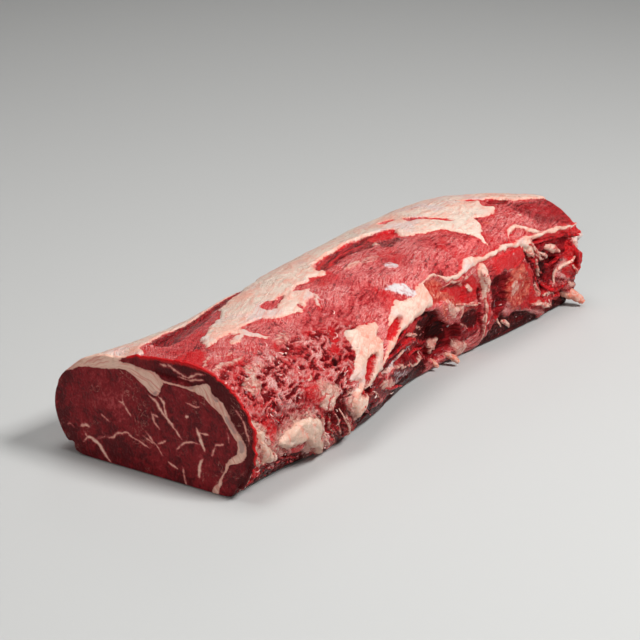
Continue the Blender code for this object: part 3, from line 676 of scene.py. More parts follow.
def grid_piece(name, places, paint, close_with=None):
    """A mesh over a grid of places in millimetres, closed on one last place if given, with its paint."""
    rows, across = places.shape[:2]
    corner = np.arange(rows * across).reshape(rows, across)
    faces = np.stack([corner[:-1, :-1], corner[1:, :-1], corner[1:, 1:], corner[:-1, 1:]], -1).reshape(-1, 4).tolist()
    flat = places.reshape(-1, 3)
    if close_with is not None:
        faces += [(int(b), int(a), rows * across) for a, b in zip(corner[-1, :-1], corner[-1, 1:])]
        flat = np.vstack([flat, close_with])
    mesh = bpy.data.meshes.new(name)
    mesh.from_pydata((flat * MM).tolist(), [], faces)
    mesh.update()
    for key, field in paint.items():
        vector = field.ndim == 3
        values = field.reshape(-1, 3) if vector else field.reshape(-1, 1)
        if close_with is not None:
            values = np.vstack([values, values[-1:]])
        attribute = mesh.attributes.new(key, "FLOAT_VECTOR" if vector else "FLOAT", "POINT")
        attribute.data.foreach_set("vector" if vector else "value", values.astype(np.float32).ravel())
    return mesh


def finished(name, mesh, material):
    """Stands a finished mesh in the scene as a piece of the roast."""
    mesh.shade_smooth()
    if material:
        mesh.materials.append(material)
    piece = bpy.data.objects.new(name, mesh)
    scene.collection.objects.link(piece)
    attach(piece, "root")
    return piece


# ---------------------------------------------------------------------------------------------------------
# Raw beef as a material. Lean is wet crimson, webbed with pale torn fibres that are partly painted sheen, with
# painted shade darkening it between them and in its hollows; fat is cream with pink stains and tan that is partly
# painted shade; film over the chine is orange red. The same recipe covers the whole skin.
# ---------------------------------------------------------------------------------------------------------
LEAN_DEEP = (0.150, 0.003, 0.005, 1.0)
LEAN_RED = (0.52, 0.022, 0.028, 1.0)
# The lean's lightest tone, partly painted sheen: the wet shine of the smooth lean is laid into its colour.
LEAN_PINK = (0.71, 0.125, 0.120, 1.0)
# The near-black of painted shade, for the dark layer.
LEAN_SHADE = (0.035, 0.003, 0.003, 1.0)
LEAN_BRIGHT = (0.62, 0.006, 0.010, 1.0)
# The pale web of connective tissue, partly painted sheen: it also stands in for the wet lean's whitish shine.
WEB_AND_SHEEN = (0.95, 0.64, 0.58, 1.0)
SHEATH_PINK = (0.72, 0.24, 0.19, 1.0)
SHEATH_CREAM = (0.84, 0.54, 0.44, 1.0)
FAT_CREAM = (0.74, 0.595, 0.495, 1.0)
FAT_PINK = (0.76, 0.45, 0.355, 1.0)
FAT_GREY = (0.66, 0.53, 0.50, 1.0)
# Tan for the fat, partly its own colour and partly painted shade on the chine side's fat.
FAT_TAN_AND_SHADE = (0.62, 0.41, 0.31, 1.0)
FAT_STAIN = (0.72, 0.22, 0.15, 1.0)
FILM_RED = (0.52, 0.016, 0.013, 1.0)
FILM_ORANGE = (0.80, 0.20, 0.13, 1.0)
SILVER = (0.76, 0.69, 0.69, 1.0)


class Recipe:
    """A material's nodes, added one at a time in the order that they are laid on."""

    def __init__(self, name):
        self.material = bpy.data.materials.new(name)
        self.material.use_nodes = True
        self.nodes = self.material.node_tree.nodes
        self.links = self.material.node_tree.links
        self.shader = self.nodes["Principled BSDF"]
        self.object_place = self.nodes.new("ShaderNodeTexCoord").outputs["Object"]

    def put(self, socket, value):
        if isinstance(value, bpy.types.NodeSocket):
            self.links.new(value, socket)
        else:
            socket.default_value = value

    def painted(self, name, vector=False):
        """What was painted on the mesh under a name."""
        made = self.nodes.new("ShaderNodeAttribute")
        made.attribute_name = name
        return made.outputs["Vector" if vector else "Fac"]

    def sum(self, operation, a, b=0.0, c=0.0):
        made = self.nodes.new("ShaderNodeMath")
        made.operation = operation
        for socket, value in zip(made.inputs, (a, b, c)):
            self.put(socket, value)
        return made.outputs["Value"]

    def between(self, value, low, high, to_low=0.0, to_high=1.0):
        """A smooth rise from to_low to to_high as value goes from low to high."""
        made = self.nodes.new("ShaderNodeMapRange")
        made.interpolation_type = "SMOOTHSTEP"
        keys = ("Value", "From Min", "From Max", "To Min", "To Max")
        for key, number in zip(keys, (value, low, high, to_low, to_high)):
            self.put(made.inputs[key], number)
        return made.outputs["Result"]

    def mottle(self, scale, detail=3.0, roughness=0.55, place=None, twist=0.0):
        """Random mottling, from 0 to 1. scale is in lumps to one unit of the place it reads."""
        made = self.nodes.new("ShaderNodeTexNoise")
        self.put(made.inputs["Vector"], place or self.object_place)
        made.inputs["Scale"].default_value = scale
        made.inputs["Detail"].default_value = detail
        made.inputs["Roughness"].default_value = roughness
        made.inputs["Distortion"].default_value = twist
        return made.outputs["Fac"]

    def threads(self, mottle, thinness):
        """Thin wandering lines where a mottling passes its middle: 1 on the line, 0 away from it."""
        away = self.sum("ABSOLUTE", self.sum("SUBTRACT", mottle, 0.5))
        return self.between(away, 0.0, thinness, 1.0, 0.0)

    def mix(self, share, a, b):
        """Colour a, turning to colour b as share goes from 0 to 1."""
        made = self.nodes.new("ShaderNodeMix")
        made.data_type = "RGBA"
        self.put(made.inputs[0], share)
        self.put(made.inputs[6], a)
        self.put(made.inputs[7], b)
        return made.outputs[2]

    def bump(self, height, distance, strength=1.0):
        made = self.nodes.new("ShaderNodeBump")
        made.inputs["Strength"].default_value = strength
        made.inputs["Distance"].default_value = distance
        self.put(made.inputs["Height"], height)
        return made.outputs["Normal"]

    def wet(self, gloss_roughness):
        """The moist, slightly translucent surface that all raw beef has."""
        self.shader.inputs["Subsurface Weight"].default_value = 0.05
        self.shader.inputs["Subsurface Radius"].default_value = (1.0, 0.35, 0.25)
        self.shader.inputs["Subsurface Scale"].default_value = 0.002
        self.shader.inputs["Specular IOR Level"].default_value = 0.12
        self.shader.inputs["Coat Weight"].default_value = 0.08
        self.shader.inputs["Coat Roughness"].default_value = gloss_roughness
        return self.material


def meat_recipe(name):
    r = Recipe(name)
    grain_place = r.painted("grain", vector=True)
    fibres = r.mottle(0.55, 3.0, 0.6, grain_place, 0.4)
    fine_fibres = r.mottle(1.3, 3.0, 0.6, grain_place, 0.3)
    blotches = r.mottle(60.0, 3.0)
    patches = r.mottle(28.0, 3.0, 0.6)
    grit = r.mottle(900.0, 2.0, 0.6)
    coarse_grit = r.mottle(420.0, 3.0, 0.65, twist=0.8)
    knots = r.mottle(230.0, 3.0, 0.6, twist=1.0)
    torn, crest, fat_depth = r.painted("torn"), r.painted("crest"), r.painted("fat")

    # The tone follows crest: painted shade in the lean's hollows, and painted highlight on its ridges.
    tone = r.sum("MULTIPLY_ADD", crest, 0.34, 0.56)
    smooth_part = r.sum("MULTIPLY_ADD", torn, -1.2, 2.0)
    tone = r.sum("MULTIPLY_ADD", r.sum("SUBTRACT", fibres, 0.5), smooth_part, tone)
    tone = r.sum("MULTIPLY_ADD", r.sum("SUBTRACT", knots, 0.5), r.sum("MULTIPLY_ADD", torn, 1.8, 0.5), tone)
    tone = r.sum("MULTIPLY_ADD", r.sum("SUBTRACT", coarse_grit, 0.5), 2.2, tone)
    tone = r.sum("MULTIPLY_ADD", r.sum("SUBTRACT", patches, 0.5), 1.1, tone)
    lean = r.mix(r.between(tone, 0.02, 0.42), LEAN_DEEP, LEAN_RED)
    lean = r.mix(r.between(tone, 0.42, 0.98), lean, LEAN_PINK)
    red_patches = r.between(r.mottle(42.0, 3.0, 0.6, twist=0.4), 0.52, 0.66, 0.0, 0.75)
    lean = r.mix(red_patches, lean, LEAN_BRIGHT)
    # The pale web: fibres of connective tissue, and partly painted sheen; on the torn lean it shows only on the crests.
    web_and_sheen = r.sum("MAXIMUM", r.threads(fibres, 0.030), r.threads(fine_fibres, 0.025))
    web_and_sheen = r.sum("MULTIPLY", web_and_sheen, r.between(patches, 0.42, 0.62, 0.10, 0.60))
    lean = r.mix(r.sum("MULTIPLY", torn, 0.45), lean, LEAN_BRIGHT)
    knit = r.threads(r.mottle(0.42, 4.0, 0.65, grain_place, 1.8), 0.060)
    fine_knit = r.threads(r.mottle(480.0, 3.0, 0.65, twist=1.2), 0.040)
    torn_web_and_sheen = r.sum("MULTIPLY", r.between(crest, -0.1, 0.45), r.between(patches, 0.36, 0.56, 0.40, 1.0))
    torn_web_and_sheen = r.sum("MULTIPLY", torn_web_and_sheen, r.sum("MAXIMUM", knit, fine_knit))
    web_and_sheen = r.sum("MAXIMUM", web_and_sheen, r.sum("MULTIPLY", torn_web_and_sheen, torn))
    lean = r.mix(web_and_sheen, lean, WEB_AND_SHEEN)
    # Painted shade: the torn lean's pits and hollows darkened to deep red.
    pit_shade = r.between(r.sum("MULTIPLY_ADD", coarse_grit, 2.4, crest), 0.55, 1.20, 1.0, 0.0)
    lean = r.mix(r.sum("MULTIPLY", pit_shade, torn), lean, LEAN_DEEP)
    shore = r.sum("MULTIPLY", r.between(fat_depth, -2.6, -0.4), r.between(blotches, 0.45, 0.60))
    lean = r.mix(r.sum("MULTIPLY", shore, 0.6), lean, LEAN_BRIGHT)

    streaks = r.mottle(0.30, 4.0, 0.65, grain_place, 0.8)
    film = r.mix(r.between(r.sum("MULTIPLY_ADD", streaks, 0.6, knots), 0.66, 1.00), FILM_RED, FILM_ORANGE)
    sheath = r.mix(r.between(knots, 0.35, 0.65), SHEATH_PINK, SHEATH_CREAM)
    bright = r.mix(r.between(coarse_grit, 0.40, 0.68, 0.0, 0.35), LEAN_BRIGHT, LEAN_PINK)
    # deep: darker red lean, partly its own colour and partly painted shade, in hollows and under the fat's edges.
    deep = r.mix(r.between(streaks, 0.40, 0.64, 0.0, 0.65), LEAN_DEEP, LEAN_RED)
    # The dark layer's colour: painted shade, near black with some deep red streaks.
    painted_shade = r.mix(r.between(streaks, 0.46, 0.66, 0.0, 0.75), LEAN_SHADE, LEAN_DEEP)
    painted_shade = r.mix(r.between(knots, 0.56, 0.74, 0.0, 0.35), painted_shade, LEAN_RED)
    ragged = r.sum("MULTIPLY_ADD", r.sum("SUBTRACT", coarse_grit, 0.5), 0.5, r.sum("SUBTRACT", knots, 0.5))
    layer_colours = (("deep", deep), ("bright", bright), ("film", film), ("pale", sheath), ("dark", painted_shade),
                     ("silver", SILVER))
    for key, layer_colour in layer_colours:
        share = r.sum("MULTIPLY_ADD", ragged, 1.6 if key == "silver" else 1.0, r.painted(key))
        lean = r.mix(r.between(share, 0.20, 0.80), lean, layer_colour)

    flushed = r.sum("MULTIPLY_ADD", r.sum("SUBTRACT", knots, 0.5), 0.7, patches)
    cream = r.mix(r.between(flushed, 0.40, 0.68), FAT_CREAM, FAT_PINK)
    cream = r.mix(r.between(r.mottle(33.0, 2.0, 0.5, twist=0.5), 0.52, 0.66, 0.0, 0.8), cream, FAT_GREY)
    cream = r.mix(r.between(streaks, 0.50, 0.66, 0.0, 0.50), cream, FAT_STAIN)
    cream = r.mix(r.between(knots, 0.54, 0.70, 0.0, 0.35), cream, FAT_STAIN)
    cream = r.mix(r.sum("MULTIPLY", r.threads(fine_fibres, 0.03), 0.3), cream, FAT_STAIN)
    cream = r.mix(r.sum("MULTIPLY", r.threads(knots, 0.03), r.between(patches, 0.40, 0.60, 0.0, 0.5)), cream, FAT_STAIN)
    # Where pale is painted the fat turns tan: partly its own colour, partly painted shade.
    tan_and_shade = r.sum("MULTIPLY_ADD", r.sum("SUBTRACT", coarse_grit, 0.5), 1.2, r.painted("pale"))
    cream = r.mix(r.between(tan_and_shade, 0.1, 0.8), cream, FAT_TAN_AND_SHADE)
    cream = r.mix(r.sum("MULTIPLY", r.painted("film"), r.between(knots, 0.35, 0.60)), cream, FAT_STAIN)
    rim = r.sum("MULTIPLY", r.between(fat_depth, 0.2, 2.2, 1.0, 0.0), r.between(coarse_grit, 0.35, 0.65))
    cream = r.mix(r.sum("MULTIPLY", rim, 0.45), cream, FAT_STAIN)
    edge_depth = r.sum("MULTIPLY_ADD", r.sum("SUBTRACT", grit, 0.5), 1.6, fat_depth)
    edge_depth = r.sum("MULTIPLY_ADD", r.sum("SUBTRACT", coarse_grit, 0.5), 2.2, edge_depth)
    fat_edge = r.between(edge_depth, -0.3, 0.5)
    r.put(r.shader.inputs["Base Color"], r.mix(fat_edge, lean, cream))

    rough = r.between(blotches, 0.3, 0.7, 0.13, 0.27)
    r.put(r.shader.inputs["Roughness"], r.sum("MULTIPLY_ADD", fat_edge, 0.12, rough))
    relief_map = r.sum("MULTIPLY", coarse_grit, r.sum("MULTIPLY_ADD", torn, 1.4, 0.35))
    relief_map = r.sum("MULTIPLY_ADD", fine_fibres, 0.9, relief_map)
    relief_map = r.sum("MULTIPLY", relief_map, r.sum("MULTIPLY_ADD", fat_edge, -0.70, 1.0))
    fat_map = r.sum("MULTIPLY_ADD", knots, 1.6, r.sum("MULTIPLY", streaks, 0.9))
    relief_map = r.sum("MULTIPLY_ADD", r.sum("MULTIPLY", fat_edge, 0.34), fat_map, relief_map)
    r.put(r.shader.inputs["Normal"], r.bump(relief_map, 0.0020, 1.0))
    material = r.wet(0.15)
    shaded = r.sum("MAXIMUM", r.painted("dark"), r.sum("MULTIPLY", r.painted("deep"), 0.6))
    gloss = r.sum("MULTIPLY_ADD", fat_edge, 0.08, 0.10)
    r.put(r.shader.inputs["Specular IOR Level"], r.sum("MULTIPLY", gloss, r.between(shaded, 0.1, 0.9, 1.0, 0.12)))
    return material


skin_meat = meat_recipe("raw_beef_skin")


def skin_piece(name, first, last):
    """Part of the skin, from one column of its grid to another."""
    columns = [k % column_count for k in range(first, last + 1)]
    paint = {key: field[:, columns] for key, field in PAINT.items()}
    paint["grain"] = grain[:, columns]
    return finished(name, grid_piece(name, skin_out[:, columns], paint), skin_meat)


shown_columns = len(shown_tape)
chine_skin = skin_piece("chine_side_skin", 0, CHINE_COLUMNS - 1)
top_skin = skin_piece("top_skin", CHINE_COLUMNS - 1, shown_columns - 1)
under_skin = skin_piece("back_and_underside_skin", shown_columns - 1, column_count)
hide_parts(node)

# ---------------------------------------------------------------------------------------------------------
# The two cut ends. The knife left a dark, smooth eye of lean with fine marbling, wrapped on top and down the
# chine side by a thinner cap muscle, with a seam of fat between them that is thickest over the eye. Places
# are across and up, in millimetres; the same muscles run through to the far end.
# ---------------------------------------------------------------------------------------------------------
CUT_INSETS = (0.0, 0.12, 0.3, 0.6, 1.0, 1.3, 1.6)
CUT_RINGS = 110
CUT_FAT = {
    "cap_layer": ((78, 46), (66, 50.5), (60, 53), (52, 56), (44, 58), (34, 59.5), (24, 61), (15, 60), (8, 56),
                  (0, 50.5), (-4, 52), (-6, 57), (-7, 61), (-2, 64), (6, 65), (14, 65.5), (24.5, 66.5), (20, 69),
                  (14, 71), (8, 74), (6, 80), (30, 80), (60, 74), (80, 60)),
    "seam": ((-6, 61.8), (-20, 61), (-28, 62), (-33, 64), (-37, 66), (-39.5, 64), (-41, 60.5), (-45, 58),
             (-50, 52.5), (-54, 47), (-57, 43), (-60, 38.5), (-63.5, 33), (-64, 30), (-62.5, 26.5), (-59, 23.5),
             (-55, 21.5), (-52.5, 20), (-50.5, 16), (-47.5, 9), (-45.5, 4), (-43, -4), (-40, 0), (-44, 7), (-48, 13),
             (-50, 19.5), (-53, 24), (-57, 27), (-59, 30), (-58.5, 34), (-56, 38), (-53, 42), (-50, 46),
             (-45, 50.5), (-40, 54), (-36, 57), (-30, 58.5), (-24, 59.8), (-16, 60), (-6, 60.6)),
}
CUT_SINEW = (
    # half width, points
    (1.2, ((-40.5, 61), (-43, 58.5), (-45, 56))),
    (1.3, ((-50, 49), (-54, 45.5), (-57.5, 41))),
    (1.1, ((-60, 36.5), (-61.5, 33), (-62, 29.5))),
    (0.9, ((-20, 61.3), (-25, 61.8), (-29, 61))),
    (1.0, ((-3, 54), (-1, 51), (4, 50.5))),
)
MARBLING = (
    # half width, points
    (0.8, ((4, 49.5), (-1, 47), (-5, 43), (-9, 39), (-12, 36), (-16, 32.5), (-20, 28.5))),
    (0.8, ((-3, 51), (-7, 47), (-8, 44), (-10, 39))),
    (0.55, ((23, 45), (22.5, 41), (21.5, 38.5), (19, 36), (17, 33.5))),
    (0.35, ((25.5, 40), (22, 40), (20, 38))),
    (0.35, ((45, 47.5), (44.5, 45), (43.5, 43.5))),
    (0.4, ((39, 30), (36, 28.5), (33, 26.5))),
    (0.45, ((1.5, 39.5), (0, 36), (-1, 33.5), (-3.5, 31))),
    (0.3, ((1.5, 38.5), (-1, 38.5), (-3, 37.5))),
    (0.5, ((39, 18.5), (34, 17), (30, 17.5), (28, 20), (24, 21.5), (20, 22.5), (16, 20.5), (11, 19), (5, 16.5))),
    (0.4, ((43, 13.5), (39, 15.5), (36, 17))),
    (1.1, ((54, 9), (50, 12.5), (46, 12.5), (42, 10.5), (39, 7), (36, 4), (32, 0))),
    (0.6, ((55, 19), (51, 20.5), (48, 19.5))),
    (0.4, ((53, 17), (51, 14.5), (50, 12))),
    (0.4, ((66, 18), (63, 18.5), (60, 17))),
    (0.5, ((6, 26.5), (3, 23.5), (1, 21), (-1, 19.8), (-3, 17.5), (-5.5, 14.5))),
    (0.5, ((-2, 21), (-5, 23.5), (-9, 25.5))),
    (0.35, ((9.5, 24.5), (5, 22), (0, 19.5))),
    (0.4, ((-15.5, 21), (-18, 24), (-22, 26.5), (-27, 27.5), (-32, 27.5))),
    (1.2, ((-22.4, 42.3), (-23.6, 42.6), (-24.4, 42.3))),
    (1.0, ((-30, 38), (-31.5, 34), (-33, 30), (-34.5, 27), (-36, 24))),
    (0.4, ((-31.5, 35), (-34, 34.6), (-38, 34.5))),
    (0.5, ((-41, 23.5), (-42.5, 28), (-44, 30.5), (-49, 32))),
    (0.4, ((-51.5, 40), (-52.3, 37), (-52.5, 34))),
    (1.1, ((-34.5, 19), (-31.5, 15.5), (-31, 12), (-31.8, 7))),
    (0.5, ((-8.5, 12.5), (-12, 10.5), (-16, 9))),
    (0.5, ((-19.5, 11), (-21, 5), (-22.8, -1))),
    (0.3, ((-23, 51.2), (-28, 50.5), (-33, 51))),
    (0.5, ((-4, 69.5), (-11, 69.6), (-17, 68), (-22, 66.8), (-27, 68), (-31, 69.6), (-36, 70.8))),
    (0.4, ((-17, 65.3), (-25, 65.4), (-35, 67.5))),
    (0.4, ((-57, 54), (-62, 46), (-65, 36))),
)
CUT_LEAN_DARK = (0.085, 0.002, 0.004, 1.0)
CUT_LEAN = (0.22, 0.008, 0.012, 1.0)
CUT_LEAN_LIGHT = (0.42, 0.050, 0.055, 1.0)
CUT_CAP = (0.055, 0.001, 0.002, 1.0)
CUT_RIM = (0.50, 0.007, 0.009, 1.0)
CUT_FAT_CREAM = (0.84, 0.55, 0.43, 1.0)
CUT_FAT_PINK = (0.72, 0.30, 0.24, 1.0)
CUT_FAT_TAN = (0.62, 0.34, 0.25, 1.0)
SINEW = (0.36, 0.21, 0.20, 1.0)


def cut_recipe(name):
    r = Recipe(name)
    grain_bundles = r.mottle(620.0, 3.0, 0.6)
    bundles = r.mottle(210.0, 4.0, 0.65, twist=0.6)
    blotches = r.mottle(48.0, 3.0, 0.55, twist=0.5)
    fat_depth, vein_depth = r.painted("fat"), r.painted("veins")
    # light brings in the face's tone, with its painted shade inside the back edge and towards the bottom.
    tone = r.sum("MULTIPLY_ADD", r.sum("SUBTRACT", blotches, 0.5), 1.6, r.painted("light"))
    tone = r.sum("MULTIPLY_ADD", r.sum("SUBTRACT", bundles, 0.5), 1.7, tone)
    tone = r.sum("MULTIPLY_ADD", r.sum("SUBTRACT", grain_bundles, 0.5), 1.3, tone)
    lean = r.mix(r.between(tone, 0.0, 0.55), CUT_LEAN_DARK, CUT_LEAN)
    lean = r.mix(r.between(tone, 0.55, 1.15), lean, CUT_LEAN_LIGHT)
    lean = r.mix(r.sum("MULTIPLY", r.painted("cap"), 0.80), lean, CUT_CAP)
    faint = r.threads(r.mottle(85.0, 4.0, 0.6, twist=1.2), 0.010)
    faint = r.sum("MULTIPLY", faint, r.between(r.mottle(40.0, 2.0), 0.50, 0.62, 0.0, 0.55))
    lean = r.mix(faint, lean, CUT_FAT_PINK)
    vein_edge = r.sum("MULTIPLY_ADD", r.sum("SUBTRACT", grain_bundles, 0.5), 1.3, vein_depth)
    vein_edge = r.sum("MULTIPLY_ADD", r.sum("SUBTRACT", bundles, 0.5), 1.4, vein_edge)
    lean = r.mix(r.between(vein_edge, -1.1, -0.1, 0.0, 0.6), lean, CUT_LEAN_LIGHT)
    lean = r.mix(r.between(vein_edge, -0.30, 0.25, 0.0, 0.9), lean, CUT_FAT_PINK)
    lean = r.mix(r.between(vein_edge, 0.20, 0.85), lean, CUT_FAT_CREAM)
    rim_share = r.sum("MULTIPLY_ADD", r.sum("SUBTRACT", bundles, 0.5), 1.5, r.painted("rim"))
    lean = r.mix(r.between(rim_share, 0.25, 0.85), lean, CUT_RIM)
    layered = r.mottle(0.55, 4.0, 0.6, r.painted("layers", vector=True), 0.3)
    cream = r.mix(r.between(layered, 0.44, 0.62), CUT_FAT_CREAM, CUT_FAT_PINK)
    cream = r.mix(r.between(r.mottle(90.0, 4.0, 0.6, twist=0.6), 0.50, 0.66, 0.0, 0.7), cream, CUT_FAT_TAN)
    cream = r.mix(r.between(r.painted("sinew"), -0.8, 0.6, 0.0, 0.75), cream, SINEW)
    fat_edge = r.sum("MULTIPLY_ADD", r.sum("SUBTRACT", grain_bundles, 0.5), 1.2, fat_depth)
    cream = r.mix(r.between(fat_edge, 0.0, 1.4, 0.65, 0.0), cream, CUT_FAT_PINK)
    fat_share = r.between(fat_edge, -0.3, 0.3)
    r.put(r.shader.inputs["Base Color"], r.mix(fat_share, lean, cream))
    r.put(r.shader.inputs["Roughness"], r.between(blotches, 0.3, 0.7, 0.34, 0.50))
    height = r.sum("MULTIPLY_ADD", bundles, 1.2, r.sum("MULTIPLY", grain_bundles, 0.8))
    height = r.sum("MULTIPLY_ADD", r.between(vein_edge, -0.6, 0.4), 0.25, height)
    r.put(r.shader.inputs["Normal"], r.bump(height, 0.0009, 0.9))
    return r.wet(0.3)


cut_meat = cut_recipe("raw_beef_cut")


def cut_end(name, ring, facing, shift):
    """A cut end inside the skin's last ring: its edge turned over, then flat in to the middle."""
    halfway = (ring + np.roll(ring, -1, axis=0)) / 2
    ring = np.stack([ring, halfway], 1).reshape(-1, 3)
    ring = np.vstack([ring, ring[:1]])
    middle = ring[:-1].mean(0)
    to_middle = middle - ring
    to_middle /= np.linalg.norm(to_middle, axis=1, keepdims=True)
    rings = []
    for inset in CUT_INSETS:
        rise = math.sqrt(CUT_ROUNDING**2 - (CUT_ROUNDING - inset) ** 2)
        rings.append(ring + to_middle * inset + facing * rise)
    pole = middle + facing * CUT_ROUNDING
    for t in np.arange(1, CUT_RINGS) / CUT_RINGS:
        rings.append(rings[len(CUT_INSETS) - 1] * (1 - t) + pole * t)
    places = np.array(rings)
    inset = np.linalg.norm(places - ring, axis=2)
    flatness = smooth_ramp(inset / 6)
    out_of_plane = (places - pole) @ facing
    places -= facing * (out_of_plane * flatness)[..., None]

    across = places[..., 1] + 0.9 * lumps(places, 6.0, shift) + 0.35 * lumps(places, 2.0, shift)
    up = places[..., 2] + 0.9 * lumps(places, 6.0, shift + 9) + 0.35 * lumps(places, 2.0, shift + 9)
    fat_here = np.full(across.shape, -PAINT_REACH)
    for outline in CUT_FAT.values():
        fat_here = np.maximum(fat_here, depth_in(outline, True, across, up))
    veins = np.full(across.shape, -PAINT_REACH)
    for half_width, line in MARBLING:
        veins = np.maximum(veins, depth_in(line, False, across, up, half_width))
    veins += 0.35 * lumps(places, 3.0, shift + 4)
    sinew = np.full(across.shape, -PAINT_REACH)
    for half_width, line in CUT_SINEW:
        sinew = np.maximum(sinew, depth_in(line, False, across, up, half_width))
    past_seam = smooth_ramp((np.hypot(np.minimum(across + 8, 0) / 54, (up - 26) / 38) - 0.98) / 0.06)
    cap = past_seam * smooth_ramp((24 - across) / 4) * (0.35 + 0.65 * smooth_ramp((6 - across) / 14))
    top_rim = smooth_ramp((23 - across) / 5) * smooth_ramp((up - 20) / 10)
    back_rim = 0.75 * smooth_ramp((across - 40) / 10) * smooth_ramp((up - 6) / 8) * smooth_ramp((52 - up) / 6)
    rim_width = 0.8 + 2.2 * top_rim * (1 + 0.5 * lumps(places, 14.0, shift + 17))
    rim = smooth_ramp(1.3 - inset / rim_width) * np.maximum(top_rim, back_rim)
    # light is the cut lean's tone: a little lighter over the middle of the eye, with painted shade in a band inside the
    # back edge and towards the bottom.
    light = 0.40 + 0.12 * np.exp(-(((across - 40) / 24) ** 2) - ((up - 36) / 18) ** 2)
    light -= 0.45 * np.exp(-(((inset - 6) / 5) ** 2)) * smooth_ramp((across - 54) / 10)
    light -= 0.25 * smooth_ramp((22 - up) / 20)
    relief = 0.6 * rough_lumps(places, 30.0, shift, 2) + 0.10 * rough_lumps(places, 4.0, shift, 2)
    relief += 0.5 * smooth_ramp(0.3 + fat_here / 1.5) - 1.4 * cap * smooth_ramp(inset / 3)
    places += facing * (relief * smooth_ramp(inset / 4))[..., None]
    bent = up + 0.012 * (across - 20) ** 2
    paint = {"fat": fat_here, "veins": veins, "sinew": sinew, "cap": cap, "rim": rim, "light": light}
    paint["layers"] = np.stack([0.1 * across, bent, 0 * up], -1)
    if facing[0] < 0:
        places = places[:, ::-1]
        paint = {key: field[:, ::-1] for key, field in paint.items()}
    return finished(name, grid_piece(name, places, paint, close_with=pole), cut_meat)


far_slant = section_plane(1.0)[1]
far_facing = np.array((1.0, far_slant, 0.0)) / math.hypot(1.0, far_slant)
near_cut = cut_end("near_cut", skin_out[0], np.array((-1.0, 0.0, 0.0)), 2.0)
far_cut = cut_end("far_cut", skin_out[-1], far_facing, 41.0)

# ---------------------------------------------------------------------------------------------------------
# Loose strands and lumps: fat and torn flesh that still hang on the chine side, above all at the far end. Each
# follows a line of places on the skin and is thickest where the knife left most.
# ---------------------------------------------------------------------------------------------------------
STRAND_STEP = 0.0011
STRAND_SIDES = 10
STRAND_LUMPS = 1.5
STRAND_WANDER = 0.0022
STRAND_SINK = 0.7
FLOOR_GAP = 0.0002
STRAND_STAIN = (0.62, 0.055, 0.050, 1.0)
FAT_STRANDS = (
    # points: how far along, tape, lift off the skin, radius
    ((66, -50, 0.6, 1.0), (69, -55, 1.2, 2.2), (73, -61, 1.4, 2.6), (75, -67, 1.2, 2.0), (74, -73, 0.6, 0.9),
     (75, -82, 0.5, 0.7), (77, -94, 0.5, 0.7), (80, -106, 0.4, 0.5)),
    ((150, -61, 0.8, 1.0), (156, -62, 1.8, 2.2), (163, -64, 2.2, 2.8), (170, -66, 1.8, 2.2), (175, -68, 0.6, 0.9)),
    ((128, -50, 0.6, 0.8), (133, -55, 1.4, 1.4), (139, -61, 1.4, 1.3), (145, -65, 0.8, 0.6)),
    ((118, -51, 0.5, 0.6), (123, -55, 1.2, 0.9), (130, -60, 1.2, 1.0), (136, -64, 0.8, 0.5)),
    ((141, -61, 1.0, 0.6), (148, -65, 1.6, 1.1), (156, -69, 1.6, 1.1), (163, -72, 0.6, 0.5)),
    ((142, -71, 0.5, 0.6), (145, -75, 1.4, 1.2), (149, -79, 1.4, 1.1), (152, -82, 0.5, 0.5)),
    ((142, -85, 0.5, 0.6), (144, -88, 1.2, 1.1), (147, -92, 0.5, 0.5)),
    ((138, -98, 0.5, 0.6), (147, -100, 1.2, 1.1), (156, -104, 1.2, 1.0), (165, -107, 0.5, 0.5)),
    ((165, -90, 0.5, 0.6), (165, -84, 1.4, 1.1), (170, -79, 1.8, 1.3), (179, -76, 1.8, 1.3), (186, -74, 1.2, 1.0),
     (192, -71, 0.5, 0.5)),
    ((184, -78, 1.0, 0.6), (190, -83, 1.2, 0.9), (197, -88, 0.4, 0.5)),
    ((97, -97, 0.4, 0.5), (101, -101, 1.0, 0.8), (105, -106, 0.5, 0.5)),
    ((104, -101, 0.5, 0.9), (109, -104, 1.2, 1.7), (114, -107, 0.8, 1.1), (117, -110, 0.5, 0.5)),
    ((-133, -80, 0.5, 0.4), (-130, -89, 0.8, 0.7), (-123, -100, 0.8, 0.7), (-114, -111, 0.5, 0.4)),
    ((-118, -79, 0.5, 0.4), (-113, -89, 0.8, 0.6), (-104, -100, 0.8, 0.6), (-94, -111, 0.5, 0.4)),
    ((-29, -66, 0.8, 0.4), (-22, -68, 1.2, 0.7), (-15, -71, 1.2, 0.6), (-9, -75, 0.5, 0.4)),
    ((42, -69, 0.6, 0.4), (52, -71, 1.2, 0.7), (62, -73, 0.8, 0.6), (70, -76, 0.3, 0.4)),
    ((-183, -84, 0.4, 0.7), (-180, -89, 1.0, 1.2), (-181, -93, 0.4, 0.6)),
)
